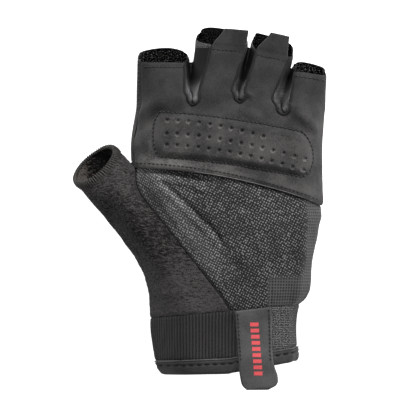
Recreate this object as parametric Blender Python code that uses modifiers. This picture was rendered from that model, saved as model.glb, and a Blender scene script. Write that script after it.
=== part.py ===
"""A half-finger weightlifting glove for the left hand, lying on its back with the palm up.

The glove is one soft skin, a tube that starts at the cuff and branches into a thumb, a palm and four half
fingers. The skin is set out as a coarse cage of rings, smoothed, pressed flat on the table under the back of
the hand, and cut along its seams into panels, each of which gets its own wall. The pad and the pull tabs are
then laid on the panels that they are sewn to.

Metres, +Z up, +Y towards the fingertips, +X towards the little finger, the table at z = 0.
"""

import math
from collections import namedtuple

import bmesh
import bpy
import numpy as np
from mathutils import Vector
from mathutils.bvhtree import BVHTree

# Outer sizes of the glove
PALM_WIDTH = 0.096
PALM_DEPTH = 0.034
PALM_LENGTH = 0.105
CUFF_WIDTH = 0.0735
CUFF_DEPTH = 0.030
CUFF_LENGTH = 0.032
FINGER_LENGTH = 0.026
FINGER_DEPTH = 0.0205
THUMB_LENGTH = 0.0158
THUMB_WIDTH = 0.0262
THUMB_DEPTH = 0.022
THUMB_BASE_DEPTH = 0.027
THUMB_REACH = 0.0100

# Walls of the panels, and how far each stands proud of the skin or lies under it
LEATHER_WALL = 0.0012
GRIP_WALL = 0.0011
FLEECE_WALL = 0.0021
MESH_WALL = 0.0012
SATIN_WALL = 0.0010
RIB_WALL = 0.0014
BINDING_WALL = 0.0020
FLEECE_RISE = 0.0003
BINDING_RISE = 0.0006

# Pad on the palm, which stays clear of the palm's sides, and the pull tabs
PAD_CLEARANCE = 0.0074
PAD_LENGTH = PALM_WIDTH - 2 * PAD_CLEARANCE
PAD_WIDTH = 0.0240
PAD_THICKNESS = 0.0024
PAD_EDGE = 0.0007
PAD_BEVEL = 0.0035
FINGER_TAB_WIDTH = 0.0170
FINGER_TAB_LENGTH = 0.0117
FINGER_TAB_FOOT = 0.0034
FINGER_TAB_SLANT = 0.0
WRIST_TAB_WIDTH = 0.0176
WRIST_TAB_LENGTH = 0.0386
TAB_WALL = 0.0013

# Clearances and the form of a cross section
SEAM_GAP = 0.0003
SHARPEST_SPREAD = 0.4
LAID_GAP = 0.0004
LAID_REACH = 0.0018
LAID_SAMPLES = 8
SIDE_INSET = 0.0010
BACK_CORNER = 0.0072
TABLE_PRESS = 0.0006
EDGE_SHARE = 0.55
SIDE_SHARE = 0.29
CROWN_POWER = 2.4
SMOOTH_ANGLE = math.radians(40)
SKIN_LEVELS = 1

FINGERS = ("index", "middle", "ring", "little")
PANELS = (
    "leather_palm", "grip_panel", "thumb_sleeve", "back_panel", "cuff_rib", "cuff_mesh", "cuff_binding",
    "fourchette_index_middle", "fourchette_middle_ring", "fourchette_ring_little",
)
GUSSETS = PANELS[7:10]

# Faces round the hand: across the thumb's front, the ribbed part of the cuff's front, across the back, on
# the two sides of the palm, and under and beside the thumb. The gussets go down at these columns.
THUMB_FRONT_FACES = 3
RIBBED_FACES = 5
BACK_FACES = 8
SIDE_FACES = 3
THUMB_UNDER_FACES = 5
GUSSET_COLUMNS = (3, 7, 11)

# Cross sections of the cuff, from its lower edge to the seam of the palm. Across is a share of CUFF_WIDTH
# from the palm's middle line, down a share of CUFF_LENGTH below that seam, and height one of CUFF_DEPTH.
CuffRow = namedtuple(
    "CuffRow", "outer_across outer_down seam_across seam_down right_across right_down height"
)
CUFF_ROWS = (
    CuffRow(-0.425, 1.005, -0.020, 0.985, 0.452, 0.795, 0.96),
    CuffRow(-0.484, 0.797, -0.007, 0.750, 0.459, 0.578, 1.00),
    CuffRow(-0.510, 0.453, 0.000, 0.375, 0.455, 0.266, 1.00),
    CuffRow(-0.521, 0.110, 0.004, 0.000, 0.478, -0.078, 1.03),
)

# Cross sections of the hand, from the heel to the crotches of the fingers. Across is a share of PALM_WIDTH
# from the palm's middle line, along one of PALM_LENGTH from the palm's centre, and height one of PALM_DEPTH.
# The outer line is the thumb's outer side, the seam joins the thumb to the palm, and bow is how far the
# row's middle lies ahead of its ends. Lobes says how far the thumb and the palm are apart, and gather how
# far the columns have come together for the four fingers.
HandRow = namedtuple(
    "HandRow",
    "outer_across outer_along seam_across seam_along right_across right_along bow height lobes gather",
)
HAND_ROWS = (
    HandRow(-0.403, -0.452, -0.078, -0.386, 0.407, -0.405, 0.000, 0.95, 0.00, 0.00),
    HandRow(-0.418, -0.371, -0.167, -0.281, 0.420, -0.300, 0.000, 1.00, 0.05, 0.00),
    HandRow(-0.448, -0.300, -0.266, -0.167, 0.438, -0.200, 0.005, 1.04, 0.12, 0.00),
    HandRow(-0.499, -0.219, -0.375, -0.043, 0.456, -0.115, 0.015, 1.06, 0.26, 0.00),
    HandRow(-0.562, -0.143, -0.471, 0.076, 0.470, -0.055, 0.028, 1.06, 0.55, 0.10),
    HandRow(-0.620, -0.076, -0.490, 0.176, 0.478, 0.000, 0.038, 1.05, 1.00, 0.30),
)
PALM_ROWS = (
    HandRow(0.0, 0.0, -0.509, 0.271, 0.482, 0.110, 0.034, 1.02, 1.00, 0.55),
    HandRow(0.0, 0.0, -0.497, 0.371, 0.483, 0.255, 0.026, 0.96, 1.00, 0.80),
)

# The columns of the palm, as they end at the fingers: low is the row at the bottom of the gussets, and
# split the row where the fingers part. Across is a share of PALM_WIDTH, along one of PALM_LENGTH, and drop
# is how far the column lies under the row's top, as a share of PALM_DEPTH.
Column = namedtuple("Column", "low_across low_along low_drop split_across split_along split_drop")
COLUMNS = (
    Column(-0.463, 0.452, 0.36, -0.459, 0.514, 0.34),
    Column(-0.349, 0.462, 0.02, -0.346, 0.521, 0.00),
    Column(-0.219, 0.492, 0.03, -0.229, 0.533, 0.06),
    Column(-0.188, 0.474, 0.04, -0.193, 0.512, 0.17),
    Column(-0.156, 0.498, 0.02, -0.154, 0.543, 0.05),
    Column(-0.063, 0.486, 0.00, -0.065, 0.543, -0.02),
    Column(0.026, 0.505, 0.01, 0.013, 0.548, 0.04),
    Column(0.055, 0.486, 0.03, 0.057, 0.522, 0.16),
    Column(0.086, 0.505, 0.01, 0.083, 0.548, 0.04),
    Column(0.161, 0.467, 0.00, 0.156, 0.524, -0.01),
    Column(0.250, 0.448, 0.02, 0.224, 0.505, 0.04),
    Column(0.281, 0.429, 0.04, 0.271, 0.470, 0.17),
    Column(0.313, 0.448, 0.03, 0.315, 0.486, 0.06),
    Column(0.406, 0.414, 0.04, 0.409, 0.476, 0.04),
    Column(0.481, 0.400, 0.36, 0.488, 0.467, 0.34),
)
LOW_SHARE = 0.89
SPLIT_SHARE = 0.83

# The crotch between the thumb and the palm, and the places across the thumb's front, as shares
CROTCH_ACROSS_SHARE = -0.511
CROTCH_ALONG_SHARE = 0.204
THUMB_SHARES = (0.0, 0.33, 0.67)

# Where the gussets go down between two fingers: the middle of the web and its end on the back. Across is a
# share of PALM_WIDTH, ahead one of FINGER_LENGTH past the crotches, and height one of PALM_DEPTH.
Web = namedtuple("Web", "middle_across middle_ahead middle_height back_across back_ahead")
WEBS = (
    Web(-0.199, 0.37, 0.50, -0.194, 0.75),
    Web(0.076, 0.48, 0.50, 0.110, 1.03),
    Web(0.293, 0.22, 0.50, 0.322, 0.64),
)

# The back of each finger at its root, between the webs: across as above, and ahead of the crotches
BackRoot = namedtuple("BackRoot", "across ahead")
BACK_ROOTS = (
    BackRoot(-0.440, 0.08),
    BackRoot(-0.323, 0.42),
    BackRoot(-0.050, 0.80),
    BackRoot(0.210, 0.76),
    BackRoot(0.410, 0.28),
    BackRoot(0.468, -0.05),
)

# The opening of each finger. Left, right and apex are shares of PALM_WIDTH, the rims shares of FINGER_LENGTH
# ahead of the crotches, reach how much longer the back of the finger is, height a share of FINGER_DEPTH, and
# the tongue is the leather front, in shares of the opening's width.
Opening = namedtuple("Opening", "left right apex rim_left rim_right reach height tongue_left tongue_right")
OPENINGS = {
    "index": Opening(-0.481, -0.200, -0.328, 0.73, 0.72, 0.28, 1.00, 0.07, 0.89),
    "middle": Opening(-0.178, 0.109, -0.072, 1.10, 1.01, 0.34, 1.02, 0.31, 0.94),
    "ring": Opening(0.112, 0.350, 0.175, 1.00, 0.80, 0.37, 1.02, 0.14, 0.84),
    "little": Opening(0.330, 0.509, 0.398, 0.56, 0.47, 0.21, 0.96, 0.06, 0.95),
}

# Places round a finger's opening, from the leather's left edge round to the left gusset. Across is a share
# of the opening's width, height one of its depth, and reach how far the place goes towards the apex.
Place = namedtuple("Place", "across height reach")
MIDDLE_FRONT = Place(0.50, 1.00, 0.00)
RIGHT_GUSSET = (Place(0.97, 0.60, 0.12), Place(1.00, 0.28, 0.42))
RIGHT_BACK = Place(0.90, 0.00, 0.76)
LEFT_BACK = Place(0.10, 0.00, 0.78)
LEFT_GUSSET = (Place(0.00, 0.28, 0.46), Place(0.03, 0.60, 0.14))
SILHOUETTE_SHARE = 0.42
TONGUE_SHARE = 0.88
APEX_PULL = 0.10

# Rings of the thumb's sleeve past its root: ahead is a share of THUMB_LENGTH, turn how far the ring's plane
# has come round to the opening's, and lift how far its underside is off the table, as a share of its depth.
ThumbRing = namedtuple("ThumbRing", "ahead turn lift")
THUMB_RINGS = (
    ThumbRing(0.36, 0.35, 0.02),
    ThumbRing(0.70, 0.70, 0.04),
    ThumbRing(1.00, 1.00, 0.06),
)
THUMB_LEAN = math.radians(43)
THUMB_RIM_LEAN = math.radians(42)
THUMB_PLACES = 10
THUMB_START = math.radians(144)

# Outline of the fingers' pull tabs, from the sewn foot to the free end: ahead is a share of
# FINGER_TAB_LENGTH, left and right are shares of FINGER_TAB_WIDTH from the middle of the leather's rim
TabRow = namedtuple("TabRow", "ahead left right")
FINGER_TAB_ROWS = {
    "middle": (
        TabRow(0.00, -0.47, 0.47),
        TabRow(0.14, -0.47, 0.48),
        TabRow(0.30, -0.48, 0.49),
        TabRow(0.46, -0.42, 0.50),
        TabRow(0.64, -0.31, 0.52),
        TabRow(0.82, -0.22, 0.54),
        TabRow(1.00, -0.15, 0.55),
    ),
    "ring": (
        TabRow(0.00, -0.49, 0.45),
        TabRow(0.14, -0.49, 0.45),
        TabRow(0.30, -0.49, 0.44),
        TabRow(0.46, -0.44, 0.43),
        TabRow(0.67, -0.33, 0.43),
        TabRow(0.89, -0.22, 0.43),
        TabRow(1.13, -0.13, 0.43),
    ),
}

# Outline of the wrist's pull tab, from the seam of the palm to its free end: ahead is a share of
# WRIST_TAB_LENGTH, left and right are shares of WRIST_TAB_WIDTH from its middle line
WRIST_TAB_ROWS = (
    TabRow(0.00, -0.56, 0.46),
    TabRow(0.12, -0.55, 0.47),
    TabRow(0.27, -0.53, 0.48),
    TabRow(0.40, -0.51, 0.49),
    TabRow(0.52, -0.49, 0.49),
    TabRow(0.64, -0.47, 0.51),
    TabRow(0.73, -0.46, 0.56),
    TabRow(0.82, -0.43, 0.64),
    TabRow(0.90, -0.40, 0.66),
    TabRow(0.96, -0.35, 0.59),
    TabRow(1.00, -0.22, 0.34),
)
WRIST_TAB_SLANT = 0.12
WRIST_TAB_GAP = 0.0009
WRIST_TAB_ACROSS_SHARE = 0.134
TAB_COLUMNS = 6
PAD_COLUMNS = 20
PAD_ROWS = 6
PAD_SLANT_SHARE = 0.107
PAD_BEND_POWER = 1.6
PAD_LEFT_END_SHARE = 0.45
PAD_RIGHT_END_SHARE = 0.75
PAD_ACROSS_SHARE = 0.021
PAD_ALONG_SHARE = 0.334

# Colour and roughness of each material
Finish = namedtuple("Finish", "red green blue roughness")
FINISHES = {
    "nubuck_leather": Finish(0.070, 0.066, 0.064, 0.85),
    "dotted_grip": Finish(0.080, 0.078, 0.078, 0.80),
    "fleece": Finish(0.042, 0.038, 0.037, 0.95),
    "mesh_knit": Finish(0.030, 0.029, 0.030, 0.85),
    "rib_knit": Finish(0.036, 0.035, 0.036, 0.85),
    "binding_tape": Finish(0.040, 0.038, 0.039, 0.75),
    "satin": Finish(0.030, 0.028, 0.031, 0.50),
}
PANEL_FINISH = {
    "leather_palm": "nubuck_leather",
    "grip_panel": "dotted_grip",
    "thumb_sleeve": "fleece",
    "back_panel": "mesh_knit",
    "cuff_rib": "rib_knit",
    "cuff_mesh": "mesh_knit",
    "cuff_binding": "binding_tape",
    "fourchette_index_middle": "satin",
    "fourchette_middle_ring": "satin",
    "fourchette_ring_little": "satin",
}
PANEL_WALL = {
    "leather_palm": LEATHER_WALL,
    "grip_panel": GRIP_WALL,
    "thumb_sleeve": FLEECE_WALL,
    "back_panel": MESH_WALL,
    "cuff_rib": RIB_WALL,
    "cuff_mesh": MESH_WALL,
    "cuff_binding": BINDING_WALL,
    "fourchette_index_middle": SATIN_WALL,
    "fourchette_middle_ring": SATIN_WALL,
    "fourchette_ring_little": SATIN_WALL,
}
PANEL_RISE = {"thumb_sleeve": FLEECE_RISE, "cuff_binding": BINDING_RISE}


def mix(start, end, share):
    return start + (end - start) * share


def crown(share):
    """Height of a rounded section at a share of its half width."""
    return (1 - min(1.0, abs(share)) ** CROWN_POWER) ** (1 / CROWN_POWER)


def domed(height, share):
    return height * mix(EDGE_SHARE, 1.0, crown(share))


def cuff_point(across, down):
    return Vector((across * CUFF_WIDTH, -0.5 * PALM_LENGTH - down * CUFF_LENGTH, 0.0))


def hand_point(across, along):
    return Vector((across * PALM_WIDTH, along * PALM_LENGTH, 0.0))


def finger_point(across, ahead):
    return Vector((across * PALM_WIDTH, 0.5 * PALM_LENGTH + ahead * FINGER_LENGTH, 0.0))


def at_height(point, height):
    return Vector((point.x, point.y, height))


def even_shares(count):
    return [number / (count - 1) for number in range(count)]


def gathered_shares(gather):
    """Where the palm's columns lie across it, on the way to their places at the fingers."""
    left = COLUMNS[0].split_across
    right = COLUMNS[-1].split_across
    ends = [(column.split_across - left) / (right - left) for column in COLUMNS]
    return [mix(even, end, gather) for even, end in zip(even_shares(len(COLUMNS)), ends)]


class Section:
    """One cross section of the cuff or hand, with its driving points and heights."""

    def __init__(self, outer, seam, right, bow, height, lobes, gather):
        self.outer = outer
        self.seam = seam
        self.right = right
        self.bow = bow
        self.height = height
        self.lobes = lobes
        self.gather = gather

    def whole_crown(self, across):
        middle = 0.5 * (self.outer.x + self.right.x)
        half = 0.5 * (self.right.x - self.outer.x)
        return domed(self.height, (across - middle) / half)

    def palm_front(self):
        points = []
        for share in gathered_shares(self.gather):
            point = self.seam.lerp(self.right, share)
            point.y += self.bow * 4 * share * (1 - share)
            lobe = domed(self.height, 2 * share - 1)
            whole = self.whole_crown(point.x) if self.lobes < 1 else lobe
            points.append(at_height(point, mix(whole, lobe, self.lobes)))
        points[-1].x -= SIDE_INSET
        return points

    def palm_right(self):
        return [at_height(self.right, SIDE_SHARE * self.height)]

    def palm_back(self):
        """Back of the hand, from the right to the thumb's seam."""
        corner = self.right - Vector((BACK_CORNER, 0, 0))
        count = 2 * len(FINGERS) + 1
        return [at_height(corner.lerp(self.seam, share), -TABLE_PRESS) for share in even_shares(count)]

    def thumb_front(self):
        inward = (self.seam - self.outer).normalized()
        height = mix(self.height, THUMB_BASE_DEPTH, self.lobes)
        points = []
        for share in THUMB_SHARES:
            point = self.outer.lerp(self.seam, share)
            lobe = domed(height, 2 * share - 1)
            points.append(at_height(point, mix(self.whole_crown(point.x), lobe, self.lobes)))
        points[0] += inward * SIDE_INSET
        return points

    def thumb_back(self):
        """Underside of the thumb's root, from the seam to its outer side."""
        inward = (self.seam - self.outer).normalized()
        points = [at_height(self.seam.lerp(self.outer, share), -TABLE_PRESS) for share in THUMB_SHARES[1:]]
        return points + [at_height(self.outer + inward * BACK_CORNER, -TABLE_PRESS)]

    def thumb_side(self):
        return [at_height(self.outer, SIDE_SHARE * mix(self.height, THUMB_BASE_DEPTH, self.lobes))]


def cuff_sections():
    sections = []
    for row in CUFF_ROWS:
        outer = cuff_point(row.outer_across, row.outer_down)
        seam = cuff_point(row.seam_across, row.seam_down)
        right = cuff_point(row.right_across, row.right_down)
        sections.append(Section(outer, seam, right, 0.0, row.height * CUFF_DEPTH, 0.0, 0.0))
    return sections


def hand_sections(rows):
    sections = []
    for row in rows:
        outer = hand_point(row.outer_across, row.outer_along)
        seam = hand_point(row.seam_across, row.seam_along)
        right = hand_point(row.right_across, row.right_along)
        bow = row.bow * PALM_LENGTH
        sections.append(Section(outer, seam, right, bow, row.height * PALM_DEPTH, row.lobes, row.gather))
    return sections


class Cage:
    """The coarse cage of the glove's skin: points, and faces that each belong to a panel."""

    def __init__(self):
        self.points = []
        self.faces = []

    def add(self, points):
        first = len(self.points)
        self.points.extend(Vector(point) for point in points)
        return list(range(first, len(self.points)))

    def join_rings(self, lower, upper, panels):
        for place, panel in enumerate(panels):
            after = (place + 1) % len(panels)
            self.faces.append(((lower[place], lower[after], upper[after], upper[place]), panel))


def ring_panels(front, side, back, thumb):
    """Panel of each face round the whole hand: thumb's front, palm's front, side and back, thumb's back."""
    return [thumb] * THUMB_FRONT_FACES + front + side + [back] * BACK_FACES + [thumb] * THUMB_UNDER_FACES


def add_body(cage):
    """Cuff and hand up to the hem of the leather, where the thumb leaves the palm."""
    columns = len(COLUMNS) - 1
    cuff_front = ["cuff_rib"] * RIBBED_FACES + ["cuff_mesh"] * (columns - RIBBED_FACES)
    cuff = ring_panels(cuff_front, ["cuff_mesh"] * 2, "cuff_mesh", "cuff_rib")
    binding = ["cuff_binding"] * len(cuff)
    hand = ring_panels(["grip_panel"] * (columns + 1), ["back_panel"], "back_panel", "thumb_sleeve")
    sections = cuff_sections() + hand_sections(HAND_ROWS)
    rings = []
    for section in sections:
        points = section.thumb_front() + section.palm_front() + section.palm_right()
        points += section.palm_back() + section.thumb_back() + section.thumb_side()
        rings.append(cage.add(points))
    for number, (lower, upper) in enumerate(zip(rings, rings[1:])):
        panels = binding if number == 0 else cuff if number < len(CUFF_ROWS) - 1 else hand
        cage.join_rings(lower, upper, panels)
    return rings[-1], sections[-1]


def palm_low_and_split():
    """The two rows of the palm's front at the roots of the fingers."""
    low = []
    split = []
    for column in COLUMNS:
        point = hand_point(column.low_across, column.low_along)
        low.append(at_height(point, (LOW_SHARE - column.low_drop) * PALM_DEPTH))
        point = hand_point(column.split_across, column.split_along)
        split.append(at_height(point, (SPLIT_SHARE - column.split_drop) * PALM_DEPTH))
    return low, split


def back_roots():
    """The back of the hand where the fingers part, from the little finger to the index."""
    ends = [finger_point(root.across, root.ahead) for root in BACK_ROOTS]
    webs = [finger_point(web.back_across, web.back_ahead) for web in WEBS]
    order = (ends[0], ends[1], webs[0], ends[2], webs[1], ends[3], webs[2], ends[4], ends[5])
    return [at_height(point, -TABLE_PRESS) for point in reversed(order)]


def add_palm(cage, hem_ring, hem_section):
    """Leather palm and back of the hand, from the hem to where the fingers part."""
    columns = len(COLUMNS)
    right_place = THUMB_FRONT_FACES + columns
    back_start = right_place + 1
    back_end = back_start + BACK_FACES + 1
    thumb_front = hem_ring[:THUMB_FRONT_FACES]
    palm_front = hem_ring[THUMB_FRONT_FACES:right_place]
    palm_right = hem_ring[right_place:back_start]
    palm_back = hem_ring[back_start:back_end]
    thumb_under = hem_ring[back_end:]
    crotch = hand_point(CROTCH_ACROSS_SHARE, CROTCH_ALONG_SHARE)
    crotch_middle = cage.add([at_height(crotch, SIDE_SHARE * PALM_DEPTH)])
    thumb_ring = thumb_front + palm_front[:1] + crotch_middle + palm_back[-1:] + thumb_under
    palm_rings = [palm_front + palm_right + palm_back + crotch_middle]

    low, split = palm_low_and_split()
    fronts = [section.palm_front() for section in hand_sections(PALM_ROWS)] + [low, split]
    for front in fronts[:2]:
        front[0].x += SIDE_INSET
    lefts = [section.seam for section in hand_sections(PALM_ROWS)]
    lefts += [front[0] - Vector((2 * SIDE_INSET, 0, 0)) for front in (low, split)]
    rights = [section.right for section in hand_sections(PALM_ROWS)]
    rights += [front[-1] + Vector((SIDE_INSET, 0, 0)) for front in (low, split)]
    roots = back_roots()
    hem_back = hem_section.palm_back()
    start = hem_section.seam.y
    for front, left, right in zip(fronts, lefts, rights):
        done = (left.y - start) / (lefts[-1].y - start)
        back = [hem.lerp(root, done) for hem, root in zip(hem_back, roots)]
        side_height = SIDE_SHARE * PALM_DEPTH
        points = front + [at_height(right, side_height)] + back + [at_height(left, side_height)]
        palm_rings.append(cage.add(points))
    leather = ["leather_palm"] * columns + ["back_panel"] * (BACK_FACES + SIDE_FACES)
    roots_of_gussets = list(leather)
    for gusset, valley in zip(GUSSETS, GUSSET_COLUMNS):
        roots_of_gussets[valley - 1] = gusset
        roots_of_gussets[valley] = gusset
    for number, (lower, upper) in enumerate(zip(palm_rings, palm_rings[1:])):
        last = number == len(palm_rings) - 2
        cage.join_rings(lower, upper, roots_of_gussets if last else leather)
    return thumb_ring, palm_rings[-1]


def opening_point(finger, place, across, height):
    """A point on the rim of a finger's opening."""
    opening = OPENINGS[finger]
    width_share = mix(opening.left, opening.right, across)
    rim = mix(opening.rim_left, opening.rim_right, across)
    apex = opening.apex
    pulled = mix(width_share, apex, place.reach * APEX_PULL)
    point = finger_point(pulled, rim + opening.reach * place.reach)
    return at_height(point, height * FINGER_DEPTH * opening.height)


def opening_ring(finger):
    """The rim of a finger, from the leather's left edge round to the left side."""
    opening = OPENINGS[finger]
    edge = Place(0, TONGUE_SHARE, 0)
    left = opening_point(finger, edge, opening.tongue_left, TONGUE_SHARE)
    middle_across = 0.5 * (opening.tongue_left + opening.tongue_right)
    middle = opening_point(finger, MIDDLE_FRONT, middle_across, 1.0)
    right = opening_point(finger, edge, opening.tongue_right, TONGUE_SHARE)
    ring = [left, middle, right]
    if finger == "little":
        ring.append(opening_point(finger, RIGHT_GUSSET[1], 1.0, SILHOUETTE_SHARE))
    else:
        ring += [opening_point(finger, place, place.across, place.height) for place in RIGHT_GUSSET]
    apex_ahead = 0.5 * (opening.rim_left + opening.rim_right) + opening.reach
    apex = finger_point(opening.apex, apex_ahead)
    right_back = opening_point(finger, RIGHT_BACK, RIGHT_BACK.across, 0.0)
    left_back = opening_point(finger, LEFT_BACK, LEFT_BACK.across, 0.0)
    for point in (right_back, apex, left_back):
        point.z = -TABLE_PRESS
    ring += [right_back, apex, left_back]
    if finger == "index":
        ring.append(opening_point(finger, LEFT_GUSSET[0], 0.0, SILHOUETTE_SHARE))
    else:
        ring += [opening_point(finger, place, place.across, place.height) for place in LEFT_GUSSET]
    return ring


def add_fingers(cage, split_ring):
    """The four half fingers, each a tube from the roots to its opening."""
    columns = len(COLUMNS)
    front = split_ring[:columns]
    right_side = split_ring[columns]
    back = split_ring[columns + 1:columns + 10][::-1]
    left_side = split_ring[-1]
    webs = []
    for web in WEBS:
        point = finger_point(web.middle_across, web.middle_ahead)
        webs += cage.add([at_height(point, web.middle_height * PALM_DEPTH)])
    bases = {
        "index": front[0:4] + [webs[0], back[2], back[1], back[0], left_side],
        "middle": front[4:8] + [webs[1], back[4], back[3], back[2], webs[0], front[3]],
        "ring": front[8:12] + [webs[2], back[6], back[5], back[4], webs[1], front[7]],
        "little": front[12:15] + [right_side, back[8], back[7], back[6], webs[2], front[11]],
    }
    leather = ["leather_palm"] * 2
    panels = {
        "index": leather + [GUSSETS[0]] * 3 + ["back_panel"] * 4,
        "middle": leather + [GUSSETS[1]] * 3 + ["back_panel"] * 2 + [GUSSETS[0]] * 3,
        "ring": leather + [GUSSETS[2]] * 3 + ["back_panel"] * 2 + [GUSSETS[1]] * 3,
        "little": leather + ["leather_palm"] + ["back_panel"] * 3 + [GUSSETS[2]] * 3,
    }
    for finger in FINGERS:
        rim = opening_ring(finger)
        base = bases[finger]
        halfway = [cage.points[number].lerp(point, 0.5) for number, point in zip(base, rim)]
        middle_ring = cage.add(halfway)
        cage.join_rings(base, middle_ring, panels[finger])
        cage.join_rings(middle_ring, cage.add(rim), panels[finger])


def add_thumb(cage, root_ring, hem_section):
    """The thumb's sleeve, from its root to its slanted opening."""
    root_middle = hem_section.outer.lerp(hem_section.seam, 0.5)
    root_across = (hem_section.seam - hem_section.outer).normalized()
    root_width = (hem_section.seam - hem_section.outer).length
    rim_across = Vector((math.cos(THUMB_RIM_LEAN), math.sin(THUMB_RIM_LEAN), 0))
    ahead = Vector((-math.sin(THUMB_LEAN), math.cos(THUMB_LEAN), 0))
    lower = root_ring
    for ring in THUMB_RINGS:
        middle = root_middle + ahead * (ring.ahead * THUMB_LENGTH)
        across = root_across.lerp(rim_across, ring.turn).normalized()
        half_width = 0.5 * mix(root_width, THUMB_WIDTH, ring.turn)
        depth = mix(THUMB_BASE_DEPTH, THUMB_DEPTH, ring.turn)
        points = []
        for number in range(THUMB_PLACES):
            angle = THUMB_START - 2 * math.pi * number / THUMB_PLACES
            low = 0.5 - 0.5 * math.sin(angle)
            reach = ahead * (THUMB_REACH * low * ring.turn)
            place = middle + across * (half_width * math.cos(angle)) + reach
            points.append(at_height(place, depth * (ring.lift + 1 - low)))
        upper = cage.add(points)
        cage.join_rings(lower, upper, ["thumb_sleeve"] * THUMB_PLACES)
        lower = upper


def cage_through(points, faces):
    """Cage points whose smoothed surface passes through the given points."""
    count = len(points)
    edges = [set() for _ in range(count)]
    across = [[] for _ in range(count)]
    uses = {}
    for face, _ in faces:
        for place in range(4):
            here, after, far = face[place], face[(place + 1) % 4], face[(place + 2) % 4]
            edges[here].add(after)
            edges[after].add(here)
            across[here].append(far)
            key = (min(here, after), max(here, after))
            uses[key] = uses.get(key, 0) + 1
    weights = np.zeros((count, count))
    for here in range(count):
        rim = [other for other in edges[here] if uses[(min(here, other), max(here, other))] == 1]
        if rim:
            weights[here, here] = 4 / 6
            for other in rim:
                weights[here, other] += 1 / 6
        else:
            valence = len(edges[here])
            total = valence * (valence + 5)
            weights[here, here] = valence * valence / total
            for other in edges[here]:
                weights[here, other] += 4 / total
            for other in across[here]:
                weights[here, other] += 1 / total
    return np.linalg.solve(weights, np.array([tuple(point) for point in points]))


def make_skin():
    """The whole skin as one smoothed open mesh, with the panel of each face as its material index."""
    cage = Cage()
    hem_ring, hem_section = add_body(cage)
    thumb_ring, split_ring = add_palm(cage, hem_ring, hem_section)
    add_fingers(cage, split_ring)
    add_thumb(cage, thumb_ring, hem_section)
    places = cage_through(cage.points, cage.faces)
    mesh = bpy.data.meshes.new("glove_skin")
    mesh.from_pydata([tuple(place) for place in places], [], [face for face, _ in cage.faces])
    for polygon, (_, panel) in zip(mesh.polygons, cage.faces):
        polygon.material_index = PANELS.index(panel)
    skin = bpy.data.objects.new("glove_skin", mesh)
    for _ in PANELS:
        mesh.materials.append(None)
    bpy.context.scene.collection.objects.link(skin)
    smooth = skin.modifiers.new("smooth", "SUBSURF")
    smooth.levels = SKIN_LEVELS
    smooth.render_levels = SKIN_LEVELS
    bpy.context.view_layer.update()
    evaluated = skin.evaluated_get(bpy.context.evaluated_depsgraph_get())
    surface = bpy.data.meshes.new_from_object(evaluated)
    bpy.data.objects.remove(skin)
    for vertex in surface.vertices:
        vertex.co.z = max(vertex.co.z, 0.0)
    surface.update()
    return surface


def skin_to_bmesh(surface):
    bm = bmesh.new()
    bm.from_mesh(surface)
    outward = bm.verts.layers.float_vector.new("outward")
    bm.normal_update()
    for vert in bm.verts:
        vert[outward] = vert.normal
    return bm


def edge_inward(edge, face):
    """The direction in a face that leads away from one of its edges."""
    along = (edge.verts[1].co - edge.verts[0].co).normalized()
    inward = face.calc_center_median() - edge.verts[0].co
    inward -= along * inward.dot(along)
    return inward.normalized()


def pull_in_edges(bm, panel_index):
    """Moves the seams of a panel back by half the gap between two panels, before it is cut out."""
    pulls = {}
    for edge in bm.edges:
        own = [face for face in edge.link_faces if face.material_index == panel_index]
        if len(own) == 1 and len(edge.link_faces) == 2:
            for vert in edge.verts:
                pulls.setdefault(vert, []).append(edge_inward(edge, own[0]))
    moves = {}
    for vert, ways in pulls.items():
        total = sum(ways, Vector())
        turn = ways[0].dot(ways[1]) if len(ways) == 2 else 1.0
        spread = 1 + turn if len(ways) == 2 else 1.0
        moves[vert] = total * (0.5 * SEAM_GAP / max(SHARPEST_SPREAD, spread))
    for vert, move in moves.items():
        vert.co += move


def wall_inward(bm, rise, wall):
    """Gives an open sheet its wall: the sheet rises off the skin, and a second one lies under it."""
    outward = bm.verts.layers.float_vector["outward"]
    for vert in bm.verts:
        vert.co += vert[outward] * rise
        vert.co.z = max(vert.co.z, 0.0)
    sheet = bmesh.ops.extrude_face_region(bm, geom=bm.faces[:], use_keep_orig=True)["geom"]
    for item in sheet:
        if isinstance(item, bmesh.types.BMVert):
            item.co -= item[outward] * wall
    bmesh.ops.recalc_face_normals(bm, faces=bm.faces[:])


def new_part(name, bm, finish):
    mesh = bpy.data.meshes.new(name)
    bm.to_mesh(mesh)
    bm.free()
    mesh.materials.clear()
    mesh.materials.append(materials[finish])
    for polygon in mesh.polygons:
        polygon.material_index = 0
    mesh.shade_smooth()
    mesh.set_sharp_from_angle(angle=SMOOTH_ANGLE)
    part = bpy.data.objects.new(name, mesh)
    glove.objects.link(part)
    return part


def make_panel(surface, panel):
    bm = skin_to_bmesh(surface)
    index = PANELS.index(panel)
    pull_in_edges(bm, index)
    others = [face for face in bm.faces if face.material_index != index]
    bmesh.ops.delete(bm, geom=others, context="FACES")
    wall_inward(bm, PANEL_RISE.get(panel, 0.0), PANEL_WALL[panel])
    return new_part(panel, bm, PANEL_FINISH[panel])


def skin_tree(surface):
    points = [vertex.co.copy() for vertex in surface.vertices]
    return BVHTree.FromPolygons(points, [tuple(polygon.vertices) for polygon in surface.polygons])


def height_on(tree, point):
    """Greatest height of the skin near a point, which a laid sheet clears, or None off the glove."""
    heights = []
    for number in range(LAID_SAMPLES + 1):
        reach = LAID_REACH if number else 0.0
        angle = 2 * math.pi * number / LAID_SAMPLES
        above = Vector((point.x + reach * math.cos(angle), point.y + reach * math.sin(angle), 2 * PALM_DEPTH))
        hit = tree.ray_cast(above, Vector((0, 0, -1)))[0]
        if number == 0 and hit is None:
            return None
        if hit is not None:
            heights.append(hit.z)
    return max(heights)


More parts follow.
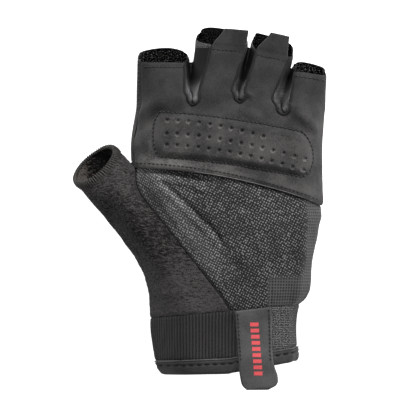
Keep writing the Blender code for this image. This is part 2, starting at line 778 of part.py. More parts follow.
def laid_sheet(name, rows, thickness_at, finish):
    """A sewn-on sheet: a grid of points on its underside, and its thickness at each."""
    bm = bmesh.new()
    thickness = bm.verts.layers.float.new("thickness")
    grid = [[bm.verts.new(point) for point in row] for row in rows]
    for number, row in enumerate(grid):
        for place, vert in enumerate(row):
            vert[thickness] = thickness_at(number, place)
    for lower, upper in zip(grid, grid[1:]):
        for place in range(len(lower) - 1):
            bm.faces.new((lower[place], lower[place + 1], upper[place + 1], upper[place]))
    sheet = bmesh.ops.extrude_face_region(bm, geom=bm.faces[:], use_keep_orig=True)["geom"]
    for item in sheet:
        if isinstance(item, bmesh.types.BMVert):
            item.co.z += item[thickness]
    bmesh.ops.recalc_face_normals(bm, faces=bm.faces[:])
    return new_part(name, bm, finish)


def pad_place(along, across):
    """A point of the pad's outline field: along and across run from -1 to 1."""
    half_length = 0.5 * PAD_LENGTH
    half_width = 0.5 * PAD_WIDTH
    end = (PAD_LEFT_END_SHARE if along < 0 else PAD_RIGHT_END_SHARE) * half_width
    reach = half_length - end * (1 - math.sqrt(max(0.0, 1 - across * across)))
    x = along * reach
    slant = PAD_SLANT_SHARE * PALM_LENGTH * ((x / half_length + 1) / 2) ** PAD_BEND_POWER
    y = across * half_width - slant
    return Vector((x + PAD_ACROSS_SHARE * PALM_WIDTH, y + PAD_ALONG_SHARE * PALM_LENGTH, 0))


def make_pad(tree):
    shares = []
    for row in even_shares(PAD_ROWS + 1):
        across = math.sin(math.pi * (row - 0.5))
        shares.append([(2 * column - 1, across) for column in even_shares(PAD_COLUMNS + 1)])
    rows = []
    for row in shares:
        points = [pad_place(along, across) for along, across in row]
        rows.append([at_height(point, height_on(tree, point) + LAID_GAP) for point in points])

    def thickness_at(number, place):
        along, across = shares[number][place]
        inset = min((1 - abs(along)) * PAD_LENGTH, (1 - abs(across)) * PAD_WIDTH) / 2
        rise = min(1.0, inset / PAD_BEVEL)
        return mix(PAD_EDGE, PAD_THICKNESS, math.sin(0.5 * math.pi * rise))

    return laid_sheet("palm_pad", rows, thickness_at, "nubuck_leather")


def tab_grid(tree, origin, across, ahead, width, length, slant, outline, clearance, floor_height):
    """Underside of a tab: on the skin where it lies on it, and straight on past its edge."""
    rows = []
    last_heights = None
    for row in outline:
        places = []
        for share in even_shares(TAB_COLUMNS + 1):
            side = mix(row.left, row.right, share)
            reach = row.ahead * length - slant * side * width * (1 - row.ahead)
            places.append(origin + across * (side * width) + ahead * reach)
        heights = [height_on(tree, place) for place in places]
        lies = all(height is not None and height > floor_height for height in heights)
        if lies:
            last_heights = heights
        rows.append([at_height(place, height + clearance) for place, height in zip(places, last_heights)])
    return rows


def make_finger_tab(tree, finger):
    opening = OPENINGS[finger]
    left = opening_point(finger, MIDDLE_FRONT, opening.tongue_left, 0.0)
    right = opening_point(finger, MIDDLE_FRONT, opening.tongue_right, 0.0)
    across = (right - left).normalized()
    ahead = Vector((-across.y, across.x + 1, 0)).normalized()
    origin = left.lerp(right, 0.5) - ahead * FINGER_TAB_FOOT
    rows = tab_grid(
        tree, origin, across, ahead, FINGER_TAB_WIDTH, FINGER_TAB_LENGTH,
        FINGER_TAB_SLANT, FINGER_TAB_ROWS[finger], LAID_GAP, 0.5 * FINGER_DEPTH,
    )
    return laid_sheet("finger_tab_" + finger, rows, lambda number, place: TAB_WALL, "nubuck_leather")


def make_wrist_tab(tree):
    top = Vector((WRIST_TAB_ACROSS_SHARE * PALM_WIDTH, -0.5 * PALM_LENGTH - WRIST_TAB_GAP, 0))
    rows = tab_grid(
        tree, top, Vector((1, 0, 0)), Vector((0, -1, 0)), WRIST_TAB_WIDTH, WRIST_TAB_LENGTH,
        WRIST_TAB_SLANT, WRIST_TAB_ROWS, LAID_GAP + BINDING_RISE, 0.5 * CUFF_DEPTH,
    )
    return laid_sheet("wrist_tab", rows, lambda number, place: TAB_WALL, "nubuck_leather")


def make_material(name, finish):
    material = bpy.data.materials.new(name)
    material.use_nodes = True
    shader = material.node_tree.nodes["Principled BSDF"]
    shader.inputs["Base Color"].default_value = (finish.red, finish.green, finish.blue, 1)
    shader.inputs["Roughness"].default_value = finish.roughness
    shader.inputs["Metallic"].default_value = 0.0
    material.diffuse_color = (finish.red, finish.green, finish.blue, 1)
    return material


for leftover in list(bpy.data.objects):
    bpy.data.objects.remove(leftover)

glove = bpy.data.collections.new("weightlifting_glove")
bpy.context.scene.collection.children.link(glove)
materials = {name: make_material(name, finish) for name, finish in FINISHES.items()}

skin_surface = make_skin()
for panel_name in PANELS:
    make_panel(skin_surface, panel_name)
skin_finder = skin_tree(skin_surface)
make_pad(skin_finder)
make_finger_tab(skin_finder, "middle")
make_finger_tab(skin_finder, "ring")
make_wrist_tab(skin_finder)
bpy.data.meshes.remove(skin_surface)
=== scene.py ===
"""The looks of a half-finger weightlifting glove for the left hand, lying on its back with the palm up."""

import math
from collections import namedtuple

import bpy
import numpy as np
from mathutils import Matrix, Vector, noise
from mathutils.bvhtree import BVHTree
from mathutils.kdtree import KDTree


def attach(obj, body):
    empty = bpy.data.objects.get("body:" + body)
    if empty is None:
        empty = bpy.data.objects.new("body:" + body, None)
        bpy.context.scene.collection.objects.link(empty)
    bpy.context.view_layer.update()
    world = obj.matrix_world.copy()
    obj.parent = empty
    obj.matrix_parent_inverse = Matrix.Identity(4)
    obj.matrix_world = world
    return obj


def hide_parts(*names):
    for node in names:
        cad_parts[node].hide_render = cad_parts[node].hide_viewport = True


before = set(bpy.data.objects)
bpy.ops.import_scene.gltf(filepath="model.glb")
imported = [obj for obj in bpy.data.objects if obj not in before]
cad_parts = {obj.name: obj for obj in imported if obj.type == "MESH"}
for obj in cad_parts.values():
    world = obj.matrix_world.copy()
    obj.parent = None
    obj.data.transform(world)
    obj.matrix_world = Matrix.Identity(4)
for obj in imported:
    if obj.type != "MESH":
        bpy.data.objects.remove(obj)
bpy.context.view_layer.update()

# The leather palm
# A single panel of brushed dark grey nubuck that covers the palm and the fronts of the four fingers. It is
# cut flat, eased over the hand's shape and sewn to the other panels. Its section also holds that shape: a
# coarse cage of rings from the cuff to the fingers and the thumb, from which all panels are cut.
PALM_WIDTH = 0.096
PALM_DEPTH = 0.034
PALM_LENGTH = 0.105
CUFF_WIDTH = 0.0735
CUFF_DEPTH = 0.030
CUFF_LENGTH = 0.032
FINGER_LENGTH = 0.026
FINGER_DEPTH = 0.0205
THUMB_LENGTH = 0.0158
THUMB_WIDTH = 0.0262
THUMB_DEPTH = 0.022
THUMB_BASE_DEPTH = 0.027
THUMB_REACH = 0.0100
SIDE_INSET = 0.0010
BACK_CORNER = 0.0072
TABLE_PRESS = 0.0006
EDGE_SHARE = 0.55
SIDE_SHARE = 0.29
CROWN_POWER = 2.4
SKIN_LEVELS = 4

FINGERS = ("index", "middle", "ring", "little")
PANELS = (
    "leather_palm", "grip_panel", "thumb_sleeve", "back_panel", "cuff_rib", "cuff_mesh", "cuff_binding",
    "fourchette_index_middle", "fourchette_middle_ring", "fourchette_ring_little", "back_side",
)
GUSSETS = PANELS[7:10]
THUMB_FRONT_FACES = 3
RIBBED_FACES = 5
BACK_FACES = 8
THUMB_UNDER_FACES = 5
GUSSET_COLUMNS = (3, 7, 11)

# Cross sections of the cuff, from its lower edge to the seam of the palm. Across is a share of CUFF_WIDTH
# from the palm's middle line, down a share of CUFF_LENGTH below that seam, and height one of CUFF_DEPTH.
CuffRow = namedtuple(
    "CuffRow", "outer_across outer_down seam_across seam_down right_across right_down height"
)
CUFF_ROWS = (
    CuffRow(-0.425, 1.005, -0.020, 0.985, 0.452, 0.795, 0.96),
    CuffRow(-0.484, 0.797, -0.007, 0.750, 0.459, 0.578, 1.00),
    CuffRow(-0.510, 0.453, 0.000, 0.375, 0.455, 0.266, 1.00),
    CuffRow(-0.521, 0.110, 0.004, 0.000, 0.478, -0.078, 1.03),
)

# Cross sections of the hand, from the heel to the crotches of the fingers. Across is a share of PALM_WIDTH
# from the palm's middle line, along and bow are shares of PALM_LENGTH, and height is one of PALM_DEPTH.
# Bow is how far the row's middle lies ahead of its ends, lobes how far the thumb and palm are apart, and
# gather how far the columns have come together for the four fingers.
HandRow = namedtuple(
    "HandRow",
    "outer_across outer_along seam_across seam_along right_across right_along bow height lobes gather",
)
HAND_ROWS = (
    HandRow(-0.403, -0.452, -0.078, -0.386, 0.407, -0.405, 0.000, 0.95, 0.00, 0.00),
    HandRow(-0.418, -0.371, -0.167, -0.281, 0.420, -0.300, 0.000, 1.00, 0.05, 0.00),
    HandRow(-0.448, -0.300, -0.266, -0.167, 0.438, -0.200, 0.005, 1.04, 0.12, 0.00),
    HandRow(-0.499, -0.219, -0.375, -0.043, 0.456, -0.115, 0.015, 1.06, 0.26, 0.00),
    HandRow(-0.562, -0.143, -0.471, 0.076, 0.470, -0.055, 0.028, 1.06, 0.55, 0.10),
    HandRow(-0.620, -0.076, -0.490, 0.176, 0.478, 0.000, 0.038, 1.05, 1.00, 0.30),
)
PALM_ROWS = (
    HandRow(0.0, 0.0, -0.509, 0.271, 0.482, 0.110, 0.034, 1.02, 1.00, 0.55),
    HandRow(0.0, 0.0, -0.497, 0.371, 0.483, 0.255, 0.026, 0.96, 1.00, 0.80),
)

# The columns of the palm, as they end at the fingers: low is the row at the bottom of the gussets, and
# split the row where the fingers part. Drop is how far the column lies under the row's top.
Column = namedtuple("Column", "low_across low_along low_drop split_across split_along split_drop")
COLUMNS = (
    Column(-0.463, 0.452, 0.36, -0.459, 0.514, 0.34),
    Column(-0.349, 0.462, 0.02, -0.346, 0.521, 0.00),
    Column(-0.219, 0.492, 0.03, -0.229, 0.533, 0.06),
    Column(-0.188, 0.474, 0.04, -0.193, 0.512, 0.17),
    Column(-0.156, 0.498, 0.02, -0.154, 0.543, 0.05),
    Column(-0.063, 0.486, 0.00, -0.065, 0.543, -0.02),
    Column(0.026, 0.505, 0.01, 0.013, 0.548, 0.04),
    Column(0.055, 0.486, 0.03, 0.057, 0.522, 0.16),
    Column(0.086, 0.505, 0.01, 0.083, 0.548, 0.04),
    Column(0.161, 0.467, 0.00, 0.156, 0.524, -0.01),
    Column(0.250, 0.448, 0.02, 0.224, 0.505, 0.04),
    Column(0.281, 0.429, 0.04, 0.271, 0.470, 0.17),
    Column(0.313, 0.448, 0.03, 0.315, 0.486, 0.06),
    Column(0.406, 0.414, 0.04, 0.409, 0.476, 0.04),
    Column(0.481, 0.400, 0.36, 0.488, 0.467, 0.34),
)
LOW_SHARE = 0.89
SPLIT_SHARE = 0.83
CROTCH_ACROSS_SHARE = -0.511
CROTCH_ALONG_SHARE = 0.204
THUMB_SHARES = (0.0, 0.33, 0.67)

# Where the gussets go down between two fingers, and the back of each finger at its root. Across is a share
# of PALM_WIDTH, ahead one of FINGER_LENGTH past the crotches, and height one of PALM_DEPTH.
Web = namedtuple("Web", "middle_across middle_ahead middle_height back_across back_ahead")
WEBS = (
    Web(-0.199, 0.37, 0.50, -0.194, 0.75),
    Web(0.076, 0.48, 0.50, 0.110, 1.03),
    Web(0.293, 0.22, 0.50, 0.322, 0.64),
)
BackRoot = namedtuple("BackRoot", "across ahead")
BACK_ROOTS = (
    BackRoot(-0.440, 0.08),
    BackRoot(-0.323, 0.42),
    BackRoot(-0.050, 0.80),
    BackRoot(0.210, 0.76),
    BackRoot(0.410, 0.28),
    BackRoot(0.468, -0.05),
)

# The opening of each finger. Left, right and apex are shares of PALM_WIDTH, and the rims are shares of
# FINGER_LENGTH ahead of the crotches. Reach is how much longer the finger's back is, height is a share of
# FINGER_DEPTH, and the tongue is the leather front, in shares of the opening's width.
Opening = namedtuple("Opening", "left right apex rim_left rim_right reach height tongue_left tongue_right")
OPENINGS = {
    "index": Opening(-0.481, -0.200, -0.328, 0.73, 0.72, 0.28, 1.00, 0.07, 0.89),
    "middle": Opening(-0.178, 0.109, -0.072, 1.10, 1.01, 0.34, 1.02, 0.31, 0.94),
    "ring": Opening(0.112, 0.350, 0.175, 1.00, 0.80, 0.37, 1.02, 0.14, 0.84),
    "little": Opening(0.330, 0.509, 0.398, 0.56, 0.47, 0.21, 0.96, 0.06, 0.95),
}

# Places round a finger's opening. Across is a share of the opening's width, height one of its depth, and
# reach how far the place goes towards the apex.
Place = namedtuple("Place", "across height reach")
MIDDLE_FRONT = Place(0.50, 1.00, 0.00)
RIGHT_GUSSET = (Place(0.97, 0.60, 0.12), Place(1.00, 0.28, 0.42))
RIGHT_BACK = Place(0.90, 0.00, 0.76)
LEFT_BACK = Place(0.10, 0.00, 0.78)
LEFT_GUSSET = (Place(0.00, 0.28, 0.46), Place(0.03, 0.60, 0.14))
SILHOUETTE_SHARE = 0.42
TONGUE_SHARE = 0.88
APEX_PULL = 0.10

# Rings of the thumb's sleeve past its root: ahead is a share of THUMB_LENGTH, turn how far the ring's plane
# has come round to the opening's, and lift how far its underside is off the table, as a share of its depth.
ThumbRing = namedtuple("ThumbRing", "ahead turn lift")
THUMB_RINGS = (
    ThumbRing(0.36, 0.35, 0.02),
    ThumbRing(0.70, 0.70, 0.04),
    ThumbRing(1.00, 1.00, 0.06),
)
THUMB_LEAN = math.radians(43)
THUMB_RIM_LEAN = math.radians(42)
THUMB_PLACES = 10
THUMB_START = math.radians(144)


def mix(start, end, share):
    return start + (end - start) * share


def crown(share):
    """Height of a rounded section at a share of its half width."""
    return (1 - min(1.0, abs(share)) ** CROWN_POWER) ** (1 / CROWN_POWER)


def domed(height, share):
    return height * mix(EDGE_SHARE, 1.0, crown(share))


def cuff_point(across, down):
    return Vector((across * CUFF_WIDTH, -0.5 * PALM_LENGTH - down * CUFF_LENGTH, 0.0))


def hand_point(across, along):
    return Vector((across * PALM_WIDTH, along * PALM_LENGTH, 0.0))


def finger_point(across, ahead):
    return Vector((across * PALM_WIDTH, 0.5 * PALM_LENGTH + ahead * FINGER_LENGTH, 0.0))


def at_height(point, height):
    return Vector((point.x, point.y, height))


def even_shares(count):
    return [number / (count - 1) for number in range(count)]


def gathered_shares(gather):
    """Where the palm's columns lie across it, on the way to their places at the fingers."""
    left = COLUMNS[0].split_across
    right = COLUMNS[-1].split_across
    ends = [(column.split_across - left) / (right - left) for column in COLUMNS]
    return [mix(even, end, gather) for even, end in zip(even_shares(len(COLUMNS)), ends)]


class Section(namedtuple("Section", "outer seam right bow height lobes gather")):
    """One cross section of the cuff or hand, with its driving points and heights."""

    def whole_crown(self, across):
        middle = 0.5 * (self.outer.x + self.right.x)
        half = 0.5 * (self.right.x - self.outer.x)
        return domed(self.height, (across - middle) / half)

    def palm_front(self):
        points = []
        for share in gathered_shares(self.gather):
            point = self.seam.lerp(self.right, share)
            point.y += self.bow * 4 * share * (1 - share)
            lobe = domed(self.height, 2 * share - 1)
            whole = self.whole_crown(point.x) if self.lobes < 1 else lobe
            points.append(at_height(point, mix(whole, lobe, self.lobes)))
        points[-1].x -= SIDE_INSET
        return points

    def palm_right(self):
        return [at_height(self.right, SIDE_SHARE * self.height)]

    def palm_back(self):
        """Back of the hand, from the right to the thumb's seam."""
        corner = self.right - Vector((BACK_CORNER, 0, 0))
        count = 2 * len(FINGERS) + 1
        return [at_height(corner.lerp(self.seam, share), -TABLE_PRESS) for share in even_shares(count)]

    def thumb_front(self):
        inward = (self.seam - self.outer).normalized()
        height = mix(self.height, THUMB_BASE_DEPTH, self.lobes)
        points = []
        for share in THUMB_SHARES:
            point = self.outer.lerp(self.seam, share)
            lobe = domed(height, 2 * share - 1)
            points.append(at_height(point, mix(self.whole_crown(point.x), lobe, self.lobes)))
        points[0] += inward * SIDE_INSET
        return points

    def thumb_back(self):
        """Underside of the thumb's root, from the seam to its outer side."""
        inward = (self.seam - self.outer).normalized()
        points = [at_height(self.seam.lerp(self.outer, share), -TABLE_PRESS) for share in THUMB_SHARES[1:]]
        return points + [at_height(self.outer + inward * BACK_CORNER, -TABLE_PRESS)]

    def thumb_side(self):
        return [at_height(self.outer, SIDE_SHARE * mix(self.height, THUMB_BASE_DEPTH, self.lobes))]


def cuff_sections():
    sections = []
    for row in CUFF_ROWS:
        outer = cuff_point(row.outer_across, row.outer_down)
        seam = cuff_point(row.seam_across, row.seam_down)
        right = cuff_point(row.right_across, row.right_down)
        sections.append(Section(outer, seam, right, 0.0, row.height * CUFF_DEPTH, 0.0, 0.0))
    return sections


def hand_sections(rows):
    sections = []
    for row in rows:
        outer = hand_point(row.outer_across, row.outer_along)
        seam = hand_point(row.seam_across, row.seam_along)
        right = hand_point(row.right_across, row.right_along)
        bow = row.bow * PALM_LENGTH
        sections.append(Section(outer, seam, right, bow, row.height * PALM_DEPTH, row.lobes, row.gather))
    return sections


class Cage:
    """The coarse cage of the glove's skin: points, and faces that each belong to a panel."""

    def __init__(self):
        self.points = []
        self.faces = []

    def add(self, points):
        first = len(self.points)
        self.points.extend(Vector(point) for point in points)
        return list(range(first, len(self.points)))

    def join_rings(self, lower, upper, panels):
        for place, panel in enumerate(panels):
            after = (place + 1) % len(panels)
            self.faces.append(((lower[place], lower[after], upper[after], upper[place]), panel))


def ring_panels(front, side, back, thumb):
    """Panel of each face round the whole hand: thumb's front, palm's front, side and back, thumb's back."""
    return [thumb] * THUMB_FRONT_FACES + front + side + [back] * BACK_FACES + [thumb] * THUMB_UNDER_FACES


def add_body(cage):
    """Cuff and hand up to the hem of the leather, where the thumb leaves the palm."""
    columns = len(COLUMNS) - 1
    cuff_front = ["cuff_rib"] * RIBBED_FACES + ["cuff_mesh"] * (columns - RIBBED_FACES)
    cuff = ring_panels(cuff_front, ["cuff_mesh"] * 2, "cuff_mesh", "cuff_rib")
    binding = ["cuff_binding"] * len(cuff)
    hand = ring_panels(["grip_panel"] * (columns + 1), ["back_panel"], "back_panel", "thumb_sleeve")
    sections = cuff_sections() + hand_sections(HAND_ROWS)
    rings = []
    for section in sections:
        points = section.thumb_front() + section.palm_front() + section.palm_right()
        points += section.palm_back() + section.thumb_back() + section.thumb_side()
        rings.append(cage.add(points))
    for number, (lower, upper) in enumerate(zip(rings, rings[1:])):
        panels = binding if number == 0 else cuff if number < len(CUFF_ROWS) - 1 else hand
        cage.join_rings(lower, upper, panels)
    return rings[-1], sections[-1]


def palm_low_and_split():
    """The two rows of the palm's front at the roots of the fingers."""
    low = []
    split = []
    for column in COLUMNS:
        point = hand_point(column.low_across, column.low_along)
        low.append(at_height(point, (LOW_SHARE - column.low_drop) * PALM_DEPTH))
        point = hand_point(column.split_across, column.split_along)
        split.append(at_height(point, (SPLIT_SHARE - column.split_drop) * PALM_DEPTH))
    return low, split


def back_roots():
    """The back of the hand where the fingers part, from the little finger to the index."""
    ends = [finger_point(root.across, root.ahead) for root in BACK_ROOTS]
    webs = [finger_point(web.back_across, web.back_ahead) for web in WEBS]
    order = (ends[0], ends[1], webs[0], ends[2], webs[1], ends[3], webs[2], ends[4], ends[5])
    return [at_height(point, -TABLE_PRESS) for point in reversed(order)]


def add_palm(cage, hem_ring, hem_section):
    """Leather palm and back of the hand, from the hem to where the fingers part."""
    columns = len(COLUMNS)
    right_place = THUMB_FRONT_FACES + columns
    back_end = right_place + 2 + BACK_FACES
    thumb_front = hem_ring[:THUMB_FRONT_FACES]
    palm_front = hem_ring[THUMB_FRONT_FACES:right_place]
    palm_right = hem_ring[right_place:right_place + 1]
    palm_back = hem_ring[right_place + 1:back_end]
    thumb_under = hem_ring[back_end:]
    crotch = hand_point(CROTCH_ACROSS_SHARE, CROTCH_ALONG_SHARE)
    crotch_middle = cage.add([at_height(crotch, SIDE_SHARE * PALM_DEPTH)])
    thumb_ring = thumb_front + palm_front[:1] + crotch_middle + palm_back[-1:] + thumb_under
    palm_rings = [palm_front + palm_right + palm_back + crotch_middle]

    low, split = palm_low_and_split()
    fronts = [section.palm_front() for section in hand_sections(PALM_ROWS)] + [low, split]
    for front in fronts[:2]:
        front[0].x += SIDE_INSET
    lefts = [section.seam for section in hand_sections(PALM_ROWS)]
    lefts += [front[0] - Vector((2 * SIDE_INSET, 0, 0)) for front in (low, split)]
    rights = [section.right for section in hand_sections(PALM_ROWS)]
    rights += [front[-1] + Vector((SIDE_INSET, 0, 0)) for front in (low, split)]
    roots = back_roots()
    hem_back = hem_section.palm_back()
    start = hem_section.seam.y
    for front, left, right in zip(fronts, lefts, rights):
        done = (left.y - start) / (lefts[-1].y - start)
        back = [hem.lerp(root, done) for hem, root in zip(hem_back, roots)]
        side_height = SIDE_SHARE * PALM_DEPTH
        points = front + [at_height(right, side_height)] + back + [at_height(left, side_height)]
        palm_rings.append(cage.add(points))
    leather = ["leather_palm"] * columns + ["back_panel"] * (BACK_FACES + 2) + ["back_side"]
    roots_of_gussets = list(leather)
    for gusset, valley in zip(GUSSETS, GUSSET_COLUMNS):
        roots_of_gussets[valley - 1] = gusset
        roots_of_gussets[valley] = gusset
    for number, (lower, upper) in enumerate(zip(palm_rings, palm_rings[1:])):
        last = number == len(palm_rings) - 2
        cage.join_rings(lower, upper, roots_of_gussets if last else leather)
    return thumb_ring, palm_rings[-1]


def opening_point(finger, place, across, height):
    """A point on the rim of a finger's opening."""
    opening = OPENINGS[finger]
    width_share = mix(opening.left, opening.right, across)
    rim = mix(opening.rim_left, opening.rim_right, across)
    apex = opening.apex
    pulled = mix(width_share, apex, place.reach * APEX_PULL)
    point = finger_point(pulled, rim + opening.reach * place.reach)
    return at_height(point, height * FINGER_DEPTH * opening.height)


def opening_ring(finger):
    """The rim of a finger, from the leather's left edge round to the left side."""
    opening = OPENINGS[finger]
    edge = Place(0, TONGUE_SHARE, 0)
    left = opening_point(finger, edge, opening.tongue_left, TONGUE_SHARE)
    middle_across = 0.5 * (opening.tongue_left + opening.tongue_right)
    middle = opening_point(finger, MIDDLE_FRONT, middle_across, 1.0)
    right = opening_point(finger, edge, opening.tongue_right, TONGUE_SHARE)
    ring = [left, middle, right]
    if finger == "little":
        ring.append(opening_point(finger, RIGHT_GUSSET[1], 1.0, SILHOUETTE_SHARE))
    else:
        ring += [opening_point(finger, place, place.across, place.height) for place in RIGHT_GUSSET]
    apex_ahead = 0.5 * (opening.rim_left + opening.rim_right) + opening.reach
    apex = finger_point(opening.apex, apex_ahead)
    right_back = opening_point(finger, RIGHT_BACK, RIGHT_BACK.across, 0.0)
    left_back = opening_point(finger, LEFT_BACK, LEFT_BACK.across, 0.0)
    for point in (right_back, apex, left_back):
        point.z = -TABLE_PRESS
    ring += [right_back, apex, left_back]
    if finger == "index":
        ring.append(opening_point(finger, LEFT_GUSSET[0], 0.0, SILHOUETTE_SHARE))
    else:
        ring += [opening_point(finger, place, place.across, place.height) for place in LEFT_GUSSET]
    return ring


def add_fingers(cage, split_ring):
    """The four half fingers, each a tube from the roots to its opening."""
    columns = len(COLUMNS)
    front = split_ring[:columns]
    right_side = split_ring[columns]
    back = split_ring[columns + 1:columns + 10][::-1]
    left_side = split_ring[-1]
    webs = []
    for web in WEBS:
        point = finger_point(web.middle_across, web.middle_ahead)
        webs += cage.add([at_height(point, web.middle_height * PALM_DEPTH)])
    bases = {
        "index": front[0:4] + [webs[0], back[2], back[1], back[0], left_side],
        "middle": front[4:8] + [webs[1], back[4], back[3], back[2], webs[0], front[3]],
        "ring": front[8:12] + [webs[2], back[6], back[5], back[4], webs[1], front[7]],
        "little": front[12:15] + [right_side, back[8], back[7], back[6], webs[2], front[11]],
    }
    leather = ["leather_palm"] * 2
    panels = {
        "index": leather + [GUSSETS[0]] * 3 + ["back_panel"] * 3 + ["back_side"],
        "middle": leather + [GUSSETS[1]] * 3 + ["back_panel"] * 2 + [GUSSETS[0]] * 3,
        "ring": leather + [GUSSETS[2]] * 3 + ["back_panel"] * 2 + [GUSSETS[1]] * 3,
        "little": leather + ["leather_palm"] + ["back_panel"] * 3 + [GUSSETS[2]] * 3,
    }
    for finger in FINGERS:
        rim = opening_ring(finger)
        base = bases[finger]
        halfway = [cage.points[number].lerp(point, 0.5) for number, point in zip(base, rim)]
        middle_ring = cage.add(halfway)
        cage.join_rings(base, middle_ring, panels[finger])
        cage.join_rings(middle_ring, cage.add(rim), panels[finger])


def add_thumb(cage, root_ring, hem_section):
    """The thumb's sleeve, from its root to its slanted opening."""
    root_middle = hem_section.outer.lerp(hem_section.seam, 0.5)
    root_across = (hem_section.seam - hem_section.outer).normalized()
    root_width = (hem_section.seam - hem_section.outer).length
    rim_across = Vector((math.cos(THUMB_RIM_LEAN), math.sin(THUMB_RIM_LEAN), 0))
    ahead = Vector((-math.sin(THUMB_LEAN), math.cos(THUMB_LEAN), 0))
    lower = root_ring
    for ring in THUMB_RINGS:
        middle = root_middle + ahead * (ring.ahead * THUMB_LENGTH)
        across = root_across.lerp(rim_across, ring.turn).normalized()
        half_width = 0.5 * mix(root_width, THUMB_WIDTH, ring.turn)
        depth = mix(THUMB_BASE_DEPTH, THUMB_DEPTH, ring.turn)
        points = []
        for number in range(THUMB_PLACES):
            angle = THUMB_START - 2 * math.pi * number / THUMB_PLACES
            low = 0.5 - 0.5 * math.sin(angle)
            reach = ahead * (THUMB_REACH * low * ring.turn)
            place = middle + across * (half_width * math.cos(angle)) + reach
            points.append(at_height(place, depth * (ring.lift + 1 - low)))
        upper = cage.add(points)
        cage.join_rings(lower, upper, ["thumb_sleeve"] * THUMB_PLACES)
        lower = upper


def cage_through(points, faces):
    """Cage points whose smoothed surface passes through the given points.

    A weight is the share that one cage point has in where the smoothing puts another."""
    count = len(points)
    edges = [set() for _ in range(count)]
    across = [[] for _ in range(count)]
    uses = {}
    for face, _ in faces:
        for place in range(4):
            here, after, far = face[place], face[(place + 1) % 4], face[(place + 2) % 4]
            edges[here].add(after)
            edges[after].add(here)
            across[here].append(far)
            key = (min(here, after), max(here, after))
            uses[key] = uses.get(key, 0) + 1
    weights = np.zeros((count, count))
    for here in range(count):
        rim = [other for other in edges[here] if uses[(min(here, other), max(here, other))] == 1]
        if rim:
            weights[here, here] = 2 / 3
            for other in rim:
                weights[here, other] += 1 / 6
        else:
            valence = len(edges[here])
            total = valence * (valence + 5)
            weights[here, here] = valence * valence / total
            for other in edges[here]:
                weights[here, other] += 4 / total
            for other in across[here]:
                weights[here, other] += 1 / total
    return np.linalg.solve(weights, np.array([tuple(point) for point in points]))


def values_of(items, name, width=1, kind=float):
    """One value, or one row of values, for each item of a mesh."""
    values = np.empty(width * len(items), dtype=kind)
    items.foreach_get(name, values)
    return values if width == 1 else values.reshape(-1, width)


Skin = namedtuple("Skin", "places outward faces panels")


def smooth_skin():
    """The whole skin, smoothed and pressed flat on the table, as arrays."""
    cage = Cage()
    hem_ring, hem_section = add_body(cage)
    thumb_ring, split_ring = add_palm(cage, hem_ring, hem_section)
    add_fingers(cage, split_ring)
    add_thumb(cage, thumb_ring, hem_section)
    places = cage_through(cage.points, cage.faces)
    mesh = bpy.data.meshes.new("glove_shape")
    mesh.from_pydata([tuple(place) for place in places], [], [face for face, _ in cage.faces])
    for _ in PANELS:
        mesh.materials.append(None)
    for polygon, (_, panel) in zip(mesh.polygons, cage.faces):
        polygon.material_index = PANELS.index(panel)
    shape = bpy.data.objects.new("glove_shape", mesh)
    bpy.context.scene.collection.objects.link(shape)
    smooth = shape.modifiers.new("smooth", "SUBSURF")
    smooth.levels = SKIN_LEVELS
    bpy.context.view_layer.update()
    surface = shape.evaluated_get(bpy.context.evaluated_depsgraph_get()).to_mesh()
    for vertex in surface.vertices:
        vertex.co.z = max(vertex.co.z, 0.0)
    surface.update()
    made = Skin(
        values_of(surface.vertices, "co", 3),
        values_of(surface.vertex_normals, "vector", 3),
        values_of(surface.polygons, "vertices", 4, np.int64),
        values_of(surface.polygons, "material_index", kind=np.int64),
    )
    bpy.data.objects.remove(shape)
    return made


skin = smooth_skin()


def open_edges(faces):
    """The edges of a sheet that only one of its faces uses, in that face's direction."""
    starts = faces.ravel()
    ends = np.roll(faces, -1, axis=1).ravel()
    count = faces.max() + 1
    alone = ~np.isin(starts * count + ends, ends * count + starts)
    return np.column_stack((starts[alone], ends[alone]))


def panel_faces(panels):
    return skin.faces[np.isin(skin.panels, [PANELS.index(panel) for panel in panels])]


def chained(edges):
    """Edges joined end to end, as lists of numbers; a closed line ends on its own start."""
    after = dict(edges.tolist())
    starts = [start for start in after if start not in set(after.values())]
    lines = []
    while after:
        here = starts.pop() if starts else next(iter(after))
        line = [here]
        while here in after:
            here = after.pop(here)
            line.append(here)
        lines.append(line)
    return lines


def seam_lines(panels, others=()):
    """Lines of the skin's vertices where panels meet others, or the open air where none are given."""
    count = len(skin.places)
    edges = open_edges(panel_faces(panels))
    keys = edges[:, 0] * count + edges[:, 1]
    if others:
        theirs = open_edges(panel_faces(others))
        return chained(edges[np.isin(keys, theirs[:, 1] * count + theirs[:, 0])])
    air = open_edges(skin.faces)
    return chained(edges[np.isin(keys, air[:, 0] * count + air[:, 1])])


def averaged(line, reach):
    """A line of points with its corners rounded, each point the mean of its neighbours."""
    padded = np.pad(line, ((reach, reach), (0, 0)), mode="edge")
    sums = np.cumsum(np.vstack((np.zeros(line.shape[1]), padded)), axis=0)
    return (sums[2 * reach + 1:] - sums[:-2 * reach - 1]) / (2 * reach + 1)


def inside_line(spots, line):
    """Whether each spot seen from above lies inside a line closed end to end."""
    within = np.zeros(len(spots), dtype=bool)
    for start, end in zip(line, np.roll(line, -1, axis=0)):
        if start[1] == end[1]:
            continue
        crossing = start[0] + (spots[:, 1] - start[1]) * (end[0] - start[0]) / (end[1] - start[1])
        passed = (start[1] > spots[:, 1]) != (end[1] > spots[:, 1])
        within ^= passed & (spots[:, 0] < crossing)
    return within


def distances(places, targets):
    """Distance from each place to the nearest of the targets."""
    finder = KDTree(len(targets))
    for number, target in enumerate(targets):
        finder.insert(target, number)
    finder.balance()
    return np.array([finder.find(place)[2] for place in places])


CLOTH_TURN = 0.35
SIDE_STEEPNESS = 3


